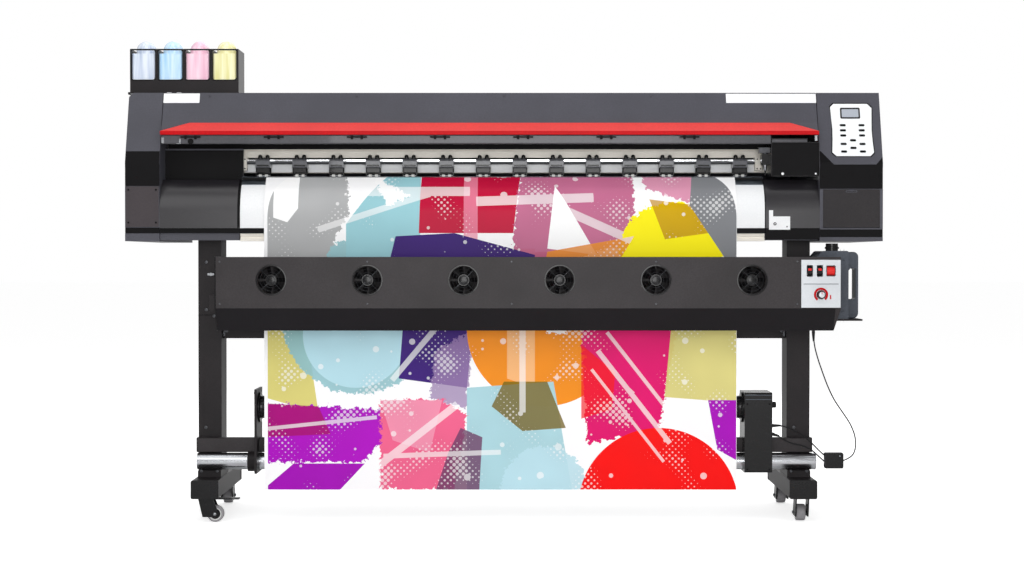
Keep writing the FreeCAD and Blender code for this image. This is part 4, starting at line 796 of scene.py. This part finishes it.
# Painted shade: a bluish grey metal skin over the top of the white apron's rounded nose, where that curve
# turns into shade.
piece("bed_lip_painted_shade", prism(crescent(NOSE, (128.4, 127.3), (133.5, 121.5), 8), "x", BED_LEFT, BED_RIGHT), BED_GREY)
for name, left, right, reach in (("left_nose_edge", -861.5, -856.2, 130.9), ("right_nose_edge", 846.2,
                                                            855.6, 129.9)):
    rim = crescent(NOSE, (reach, reach - 0.8), (180, 122.6), 26)
    ends = [(NOSE[0] - reach, 955)], [(NOSE[0] + 0.8 - reach, 955)]
    piece(name, prism(np.concatenate([ends[0], rim, ends[1]]), "x", left, right), BLACK_BAND)
piece("lever_pivot_cap", screw((875, -261.6, 968), 5), BLACK_BAND, "lift_lever")
piece("bed_edge", block((BED_LEFT, -199.4, 1112.5), (BED_RIGHT, -197.2, 1121.6)), BLACK_BAND, "machine", 0.4)
piece("left_lower_plate", block((-1221.5, -258.9, 958), (-1115, -257.8, 1089)), BRONZE_ENAMEL, "machine", 0.4)
piece("housing_screws", screws((-1213, -1124), -258.9, (972, 1078), 3.2)
      + [screw((x, -258.4, 1120), 3.2) for x in (1031, 1213)], BLACK_BAND)
piece("door_pull", framed(rectangle((1104, 1069.5), (1141, 1076.5), 3),
                          rectangle((1106, 1071.5), (1139, 1074.5), 1),
                          "y", -259.0, -257.6), CHARCOAL, "right_door")


# --- rail, rollers and carriage ---

piece("shaft_screen", block((-847, -109.1, 1183.6), (826, RAIL_FACE, 1188.4)), BLACK_BAND, "machine", 0.4)
piece("chrome_strip", block((-847, -109.1, 1176), (826, RAIL_FACE, 1183)), CHROME, "machine", 0.3)
# Painted shadow: a black plate on the beam's front above the rail, standing for the shadow there under the
# cover.
piece("rail_painted_shadow", block((-1112, -109.8, 1217), (1019, -108.1, 1249.5)), BLACK_BAND)
piece("rail_backdrop_low", block((-856, -108.6, 1141), (826, -108.1, 1175)), WHITE)
piece("rail_end_screws", screws((-865, -854, 834, 845), -135.2, (1152, 1183), 2.4),
      BLACK_BAND)
block_side = rounded_outline([(-165, 1154), (-165, 1177), (-158, 1183), (-112, 1183), (-112, 1154)], [3, 3,
                                                            3, 2, 2])
piece("pinch_blocks", [prism(block_side, "x", x - 24, x + 24) for x in ARMS], BLOCK_GREY, "pinch_arms", 0.8,
      stands_for="pinch_arms")
foot_side = rounded_outline([(-158, 1137), (-158, 1154.5), (-130, 1154.5), (-130, 1137)], 2)
cheek_side = rounded_outline([(-158, 1124.5), (-158, 1154.5), (-142, 1154.5), (-142, 1124.5)], [5, 1, 1, 5])
brackets = []
for x in ARMS:
    brackets += [prism(foot_side, "x", x - 23.9, x + 23.9), prism(cheek_side, "x", x - 23.9, x - 21),
                 prism(cheek_side, "x", x + 21, x + 23.9),
                 block((x - 19, -165.9, 1158), (x + 19, -164.5, 1163))]
piece("pinch_brackets", brackets, GLOSS_BLACK, "pinch_arms", 0.5)
bump = [(7.0, 0.0), (7.0, 9.0), (6.5, 12.3), (5.1, 14.8), (2.8, 16.2), (0.05, 16.5)]
piece("pinch_bumps", [lathe(bump, "z", (x + side, -138, 1181), 24) for x in ARMS for side in (-12, 12)]
      + [block((x - 3, -134, 1182), (x + 3, -123.5, 1188.2)) for x in ARMS], GLOSS_BLACK, "pinch_arms")
piece("pinch_shaft", lathe([(4.4, 0), (5.0, 0.6), (5.0, 1714.4), (4.4, 1715)], "x", (-868, -122, 1172), 32),
      DARK_STEEL, "pinch_arms")
tread = [(1.9, -5.0), (4.4, -5.0), (5.0, -4.4), (5.0, -0.6), (4.7, 0), (5.0, 0.6), (5.0, 4.4), (4.4, 5.0),
         (1.9, 5.0)]
piece("pinch_treads", [ring(tread, "x", (x + side, -150, 1128), 28) for x in ARMS for side in (-10, 10)],
      WHEEL_WHITE,
      "pinch_wheels", stands_for="pinch_wheels")
piece("pinch_axles", [lathe([(1.7, -23.5), (2.0, -23.2), (2.0, 23.2), (1.7, 23.5)], "x", (x, -150, 1128), 16)
                      for x in ARMS], STEEL, "pinch_wheels")
piece("carriage_plate", [block((872, -237.2, 1140), (978, -235.9, 1204)),
                         block((868, -237.0, 1218), (982, -235.9, 1242))], BLOCK_GREY, "carriage", 0.5)
piece("carriage_screws", screws((878, 972), -237.2, (1146, 1198), 2.6), STEEL, "carriage")
piece("carriage_shelf", block((829, -214, 1199), (864.8, -192, 1217)), BLOCK_GREY, "carriage", 1.2)
piece("cutter_ring", lathe([(9, 0.0), (9, 2.0), (8, 3.0), (5, 3.2), (0.05, 3.2)], "z", (850.7, -206, 1196),
                           28),
      DARK_STEEL, "cutter_holder")
piece("cutter_skirt", ring([(3.2, 0), (7.5, 0), (6.5, -10), (4.2, -18), (3.2, -18)], "z",
                           (850.7, -206, 1160.5), 28),
      STEEL, "cutter_holder")


# --- ink ---

piece("rack_rims", [framed(rectangle((x - 42.5, 1443.5), (x + 42.5, 1547.5), 7),
                           rectangle((x - 39.3, 1446.5), (x + 39.3, 1544), 8),
                           "y", -121.6, -119.6) for x in RACK], GLOSS_BLACK, "machine", 0.4)
piece("rack_clips", [block((x, -125.6, 1398.4), (x + 15, -123.9, 1404)) for x in (-1112, -1080)], WHITE,
      "machine", 0.4)
piece("rack_feet", [block((x, -126, 1397.4), (x + 22, -122, 1400.5)) for x in (-1232, -905)], STEEL,
      "machine", 0.4)


# --- stand ---

bolts, seams, caps = [], [], []
for side in (-1, 1):
    mid = side * LEG
    bolts += [screw((mid + dx, -150.2, z), 5.5) for dx, z in ((-12, 844), (-12, 688), (14, 667), (-14, 300))]
    bolts += [screw((mid + dx, -170.2, 158), 5) for dx in (-26, 26)]
    seams.append(block((mid - 38.3, -150.8, 669), (mid + 38.3, -149.5, 671.2)))
    caps += [prism(rectangle((mid - 43.6, 79.4), (mid + 43.6, 137.6), 5), "y", *y)
             for y in ((-268, -264.8), (249.8, 253))]
piece("stand_bolts", bolts, DARK_STEEL)
piece("leg_seams", seams, BLACK_BAND)
piece("foot_caps", caps, GLOSS_BLACK, "machine", 1.2)
wing = rounded_outline([(-975, 801), (-975, 807), (-964, 808.5), (-953, 807), (-953, 801), (-964, 799.5)],
                       1.5)
piece("wing_screw", [prism(wing, "y", -158, -154), lathe([(5, 0), (5, -5), (3.5, -9), (0.05, -9)], "y",
                                                         (-964, -150, 804), 20)],
      STEEL, "machine", 0.5)
piece("beam_plates", [block((x - 3, -121.4, 600), (x + 3, -119.6, 692)) for x in (-925, 925)]
      + [screw((side * 918, -121, z), 5) for side in (-1, 1) for z in (616, 676)], DARK_STEEL, "machine", 0.3)


# --- dryer ---

# Painted shade: a near-black plate on the dryer case's downward-facing chamfer, darker than the case's grey
# because that face is turned from the lights.
piece("dryer_chin", prism([(-410.6, 698.6), (-372.4, 627.4), (-371.2, 628.2), (-409.2, 699.4)], "x", -907.5,
                          1045),
      SHADED_CHIN)
piece("fan_rings", [ring([(48.5, -1.6), (47.6, 0.4), (44.8, 0.4), (44.2, -0.6), (45.0, -1.8)], "y",
                         (x, -410.4, FAN_HEIGHT), 56)
                    for x in FANS], GLOSS_BLACK)
guards = []
for x in FANS:
    guards += [ring([(r + 0.7, 0), (r, 0.7), (r - 0.7, 0), (r, -0.7)], "y", (x, -408.2, FAN_HEIGHT),
                    48) for r in (12, 24, 35)]
    guards += [tube_along([(x + r * np.cos(t), -407.6, FAN_HEIGHT + r * np.sin(t)) for r in (8, 45)], 0.7, 8)
               for t in np.radians([45, 135, 225, 315])]
piece("fan_guards", guards, DARK_STEEL)
for i, x in enumerate(FANS, 1):
    piece(f"fan_badge_{i}", lathe([(15.5, 0.4), (15.5, -0.5), (14.5, -0.8), (0.05, -0.8)], "y", (x, -405.1,
                                                            FAN_HEIGHT), 32),
          GLOSS_BLACK, f"fan_rotor_{i}")
piece("dryer_screws", screws((-895, -430, 25, 480, 925), -410.2, (846, 713), 3), DARK_STEEL)
piece("dryer_ends", [prism(rounded_outline([(-410.4, 861.4), (-410.4, 698.8), (-372.4, 627.6),
                                            (-309.6, 627.6),
                                            (-309.6, 861.4)], 4), "x", -911, -907.4)], GLOSS_BLACK,
      "machine", 0.8)
frames = [(963.5, 9.5, 18), (995, 9.5, 18), (1030, 14.5, 17)]
piece("rocker_frames", [
    framed(rectangle((x - w, ROCKER_HEIGHT - h), (x + w, ROCKER_HEIGHT + h), 3),
           rectangle((x - w + 1.6, ROCKER_HEIGHT - h + 1.8), (x + w - 1.6, ROCKER_HEIGHT + h - 1.8), 1.5),
           "y", -415.2, PANEL_FACE) for x, w, h in frames], GLOSS_BLACK, "machine", 0.4)
for i, x in ((1, 963.5), (2, 995)):
    piece(f"rocker_lens_{i}", arc_strip((-402, ROCKER_HEIGHT), (15.6, 16.1), (150, 176), (x - 5, x + 5)),
          RED_GLOSS, f"rocker_{i}")
piece("panel_line", block((944, -413.6, 774.8), (1054, PANEL_FACE, 776.6)), SLATE)
scale = crescent((KNOB[0], KNOB[2]), (22.5, 15.5), (-50, 235), 60)
piece("knob_scale", prism(scale, "y", -413.5, PANEL_FACE), RED_DEEP)
piece("speed_knob", grip([(14.3, -0.2), (14.3, -3), (13.6, -4.5), (12.6, -15.5), (11.4, -17.6),
                          (9.5, -18.2), (0.05, -18.2)],
                         "y", KNOB, 16, 0.035), GLOSS_BLACK, "dryer_knob", stands_for="dryer_knob")
piece("knob_disc", lathe([(9.2, -18.0), (9.2, -18.9), (8.6, -19.3), (0.05, -19.3)], "y", KNOB, 40), SILVER,
      "dryer_knob")
piece("knob_pointer", block((998.0, -433.1, 744), (1000.0, -432.4, 750.3)), RED_DEEP, "dryer_knob")
piece("knob_limit_mark", block((1027, -413.6, 728), (1031, PANEL_FACE, 741)), RED_DEEP)


# --- waste bottle ---

can = rounded_outline([(1010.5, 662.5), (1104, 662.5), (1104, 877.5), (1024, 877.5), (1010.5, 862)], [8, 3,
                                                            3, 8, 8])
handle = rounded_outline([(1098, 662.5), (1147.5, 662.5), (1147.5, 877.5), (1118, 877.5), (1098, 872)], [3,
                                                            16, 16, 6, 3])
hole = rounded_outline([(1104, 724), (1138, 724), (1138, 824), (1122, 824), (1104, 802)], [3, 5, 6, 6, 3])
piece("waste_can", [prism(can, "y", -295.5, -130.5), framed(handle, hole, "y", -246, -180)], CAN,
      "waste_bottle", 4,
      stands_for="waste_bottle", segments=3)
piece("waste_neck", [lathe([(20, 0), (20, 10), (23, 11), (23, 16), (20, 17), (20, 28), (0.05, 28)], "z",
                           (1067, -213, 877), 48)],
      GLOSS_BLACK, "waste_bottle")
piece("waste_ribs", [block((1028, -296.6, z), (1094, -295.2, z + 3)) for z in (686, 850)], CAN,
      "waste_bottle", 0.5)


# --- take-up ---

piece("takeup_rail", [framed(rectangle((-190, 222), (-150, 269), 4), rectangle((-187, 225), (-153, 266), 2),
                             "x", -1004, 1006)],
      POWDER_GREY, "machine", stands_for="takeup_rails")
piece("rail_plugs", [prism(rectangle((-189.6, 222.4), (-150.4, 268.6), 4), "x", lo, hi) for lo,
                     hi in ((-1006.5, -1000), (1002, 1008.5))],
      GLOSS_BLACK, "machine", 0.8)
piece("takeup_tube", ring([(27.5, 0.4), (27.5, 2023.6), (27.1, 2024), (24.5, 2024), (24.5, 0), (27.1, 0)],
                          "x",
                          (-1004, -177.65, 192), 64), TUBE_METAL)
piece("slide_bolts", [screw((-809.2, y, z), 4, "x") for y in (-238, -124) for z in (172, 420)], DARK_STEEL,
      "takeup_slide")
for side, x, way in (("left", -801, 1), ("right", 780, -1)):
    hub = [(8, 0.5), (50, 0.5), (50, 4.6), (49, 5.8), (38, 6), (37.5, 7), (37.5, 15), (36.2, 16), (36.2,
                                                            18), (37.5, 19),
           (37.5, 30), (36.2, 31), (36.2, 33), (37.5, 34), (37.5, 42), (35, 45.5), (14, 46), (12, 40),
           (0.05, 40)]
    piece(f"core_hub_{side}", [lathe([(r, way * h) for r, h in hub], "x", (x, *HUB_LINE), 72),
                               lathe([(8, 0), (8, -way * 12)], "x", (x, *HUB_LINE), 32)], GLOSS_BLACK,
          f"takeup_hub_{side}",
          stands_for=f"takeup_hub_{side}")
piece("drive_lines", [block((783, -245.8, z), (867, -244.6, z + 1.8)) for z in (398, 412)], SLATE)
piece("drive_screws", screws((789, 861), -245.2, (172, 384), 3), BLACK_BAND)
piece("drive_knob", grip([(8, 0), (9.5, 1), (9.5, 15), (8, 18), (0.05, 18.4)], "x", (871, -192, 378), 14,
                         0.05),
      GLOSS_BLACK)


# --- casters and roll ---

for corner, x, y, turn in (("front_left", -LEG, -225, -90), ("front_right", LEG, -225, 0),
                           ("rear_left", -LEG, 215, 0), ("rear_right", LEG, 215, 0)):
    angle = math.radians(turn)
    ahead = (-CASTER_LEAD * math.sin(angle), CASTER_LEAD * math.cos(angle))
    axis, centre = ("y" if turn else "x"), (x + ahead[0], y + ahead[1], WHEEL_LINE)
    tyre = [(19, -12.5), (20, -14.6), (24.5, -15), (26.4, -13.2), (27.0, -8), (27.0, 8), (26.4, 13.2),
            (24.5, 15),
            (20, 14.6), (19, 12.5)]
    core = [(4.1, -16), (8.6, -16), (9.4, -13), (17, -12.4), (19.2, -13), (19.2, 13), (17, 12.4), (9.4, 13),
            (8.6, 16), (4.1, 16)]
    piece(f"caster_tyre_{corner}", ring(tyre, axis, centre, 56), TREAD, f"caster_wheel_{corner}",
          stands_for=f"caster_wheel_{corner}")
    piece(f"caster_core_{corner}", ring(core, axis, centre, 56), GLOSS_BLACK, f"caster_wheel_{corner}")
    piece(f"caster_ring_{corner}", [ring([(16.8, w * 12.6), (20.4, w * 12.6), (20.4, w * 14.9),
                                          (16.8, w * 13.8)], axis, centre, 56)
                                    for w in (-1, 1)], TYRE_RING, f"caster_wheel_{corner}")
    piece(f"caster_nut_{corner}", [lathe([(5.5, side * 22.2), (5.5, side * 25.5), (4, side * 26.4),
                                          (0.05, side * 26.4)], axis,
                                         centre, 6) for side in (-1, 1)], STEEL, f"caster_fork_{corner}")

flange = [(12, 0.8), (47, 0.8), (48, 2), (48, 12), (46, 14), (20, 14), (18, 8), (12, 8)]
winding = [(12, SHEET_LEFT), (80, SHEET_LEFT), (80, SHEET_RIGHT), (12, SHEET_RIGHT)]
piece("vinyl_roll", ring(winding, "x", ROLL, 96), WOUND, "supply_roll", stands_for="supply_roll")
piece("roll_flanges", [ring([(r, 751.5 + h) for r, h in flange], "x", ROLL, 64),
                       ring([(r, -774.5 - h) for r, h in flange], "x", ROLL, 64)], GLOSS_BLACK, "supply_roll")
piece("roll_spindle", lathe([(11, -966), (12, -965), (12, 965), (11, 966)], "x", ROLL, 40), STEEL,
      "supply_roll")


# --- cable ends ---

def relief(name, points, radii):
    """Tapered rubber sleeve that follows a cable out of its hole, ribbed along its length."""
    path = np.asarray(points, float)
    steps = np.linspace(0, 1, 15)
    line, _ = evenly(path, 15)
    wide = np.interp(steps, [0, 1], radii) * (1 + 0.06 * (np.arange(15) % 2))
    return piece(name, tube_along(line, wide, 20), RUBBER)


relief("dryer_relief", [(987, -340, 623), (987.4, -340, 606), (988, -340, 592)], (5.4, 2.8))
relief("lead_relief_1", [(871, -232, 313), (886, -232.5, 313.4), (899, -233, 313.6)], (5.4, 2.9))
relief("lead_relief_2", [(871, -226, 285), (886, -227, 281.5), (895, -228, 278.6)], (5.4, 2.9))
piece("adapter_lamp", lathe([(1.8, 0), (1.8, -0.9), (0.05, -1.2)], "y", (1078, -308, 222), 16), DISPLAY)
piece("adapter_seam", framed(rectangle((1029.5, 181.5), (1090.5, 232.5), 5),
                             rectangle((1031, 183), (1089, 231), 5), "y", -297, -295.6),
      RUBBER)

SOFT_EDGES = {0.5: ["lift_lever"], 0.6: ["rocker_1", "rocker_2", "rocker_3"],
              0.8: ["top_cover", "cover_window", "dryer_panel", "right_door", "front_extrusion", "rail_beam",
                    "body_shell"] + [f"caster_fork_{corner}" for corner in CORNERS],
              1.0: ["cover_trim", "ink_rack", "dryer_case", "takeup_slide", "carriage", "cutter_holder"],
              1.5: ["stand_frame", "adapter"], 2.0: ["stand_left", "stand_right"],
              3: ["end_housing_left", "end_housing_right", "takeup_drive"], 5.0: ["waste_bottle"]}
for width, nodes in SOFT_EDGES.items():
    for node in nodes:
        soften(node, width)


# --- studio ---

def studio():
    """A pale floor and large soft lights: one high in front, one on each side and one behind."""
    floor = bpy.data.meshes.new("floor")
    floor.from_pydata([(-60, -60, 0), (60, -60, 0), (60, 60, 0), (-60, 60, 0)], [], [(0, 1, 2, 3)])
    ground = bpy.data.objects.new("floor", floor)
    made, tree, place = blank("pale_studio_floor")
    mottle = add(tree, "TexNoise", {"Vector": place, "Scale": 3.0})
    colour = mapped(tree, mottle.outputs["Fac"], 0.9, 0.94)
    glow = mapped(tree, add(tree, "LightPath").outputs["Is Camera Ray"], 0.0, 0.6)
    floor.materials.append(dressed(tree, made, colour, 0.9, {"Emission Color": (1.0, 1.0, 1.0, 1.0),
                                                             "Emission Strength": glow}))
    bpy.context.collection.objects.link(ground)
    world = bpy.data.worlds.new("studio")
    world.use_nodes = True
    sky = world.node_tree
    strength = mapped(sky, add(sky, "LightPath").outputs["Is Camera Ray"], 0.42, 1.0)
    sky.links.new(strength, sky.nodes["Background"].inputs["Strength"])
    sky.nodes["Background"].inputs["Color"].default_value = (1.0, 1.0, 1.0, 1.0)
    bpy.context.scene.world = world
    for name, place, size, power in (("key", (-2.2, -4.5, 4.2), 3.5, 62), ("fill", (3.4, -4.2, 2.6), 3.0, 38),
                                     ("front", (0.0, -6.8, 1.3), 2.4, 125),
                                     ("top", (0.0, 0.2, 4.6), 4.0, 85), ("back", (0.0, 4.6, 3.0), 4.0, 60)):
        light = bpy.data.lights.new(name, "AREA")
        light.shape = "RECTANGLE"
        light.size = light.size_y = size
        light.energy = power
        lamp = bpy.data.objects.new(name, light)
        lamp.location = place
        lamp.rotation_euler = (Vector((0, 0, 0.8)) - Vector(place)).to_track_quat("-Z", "Y").to_euler()
        bpy.context.collection.objects.link(lamp)
    bpy.context.scene.view_settings.view_transform = "Standard"


studio()
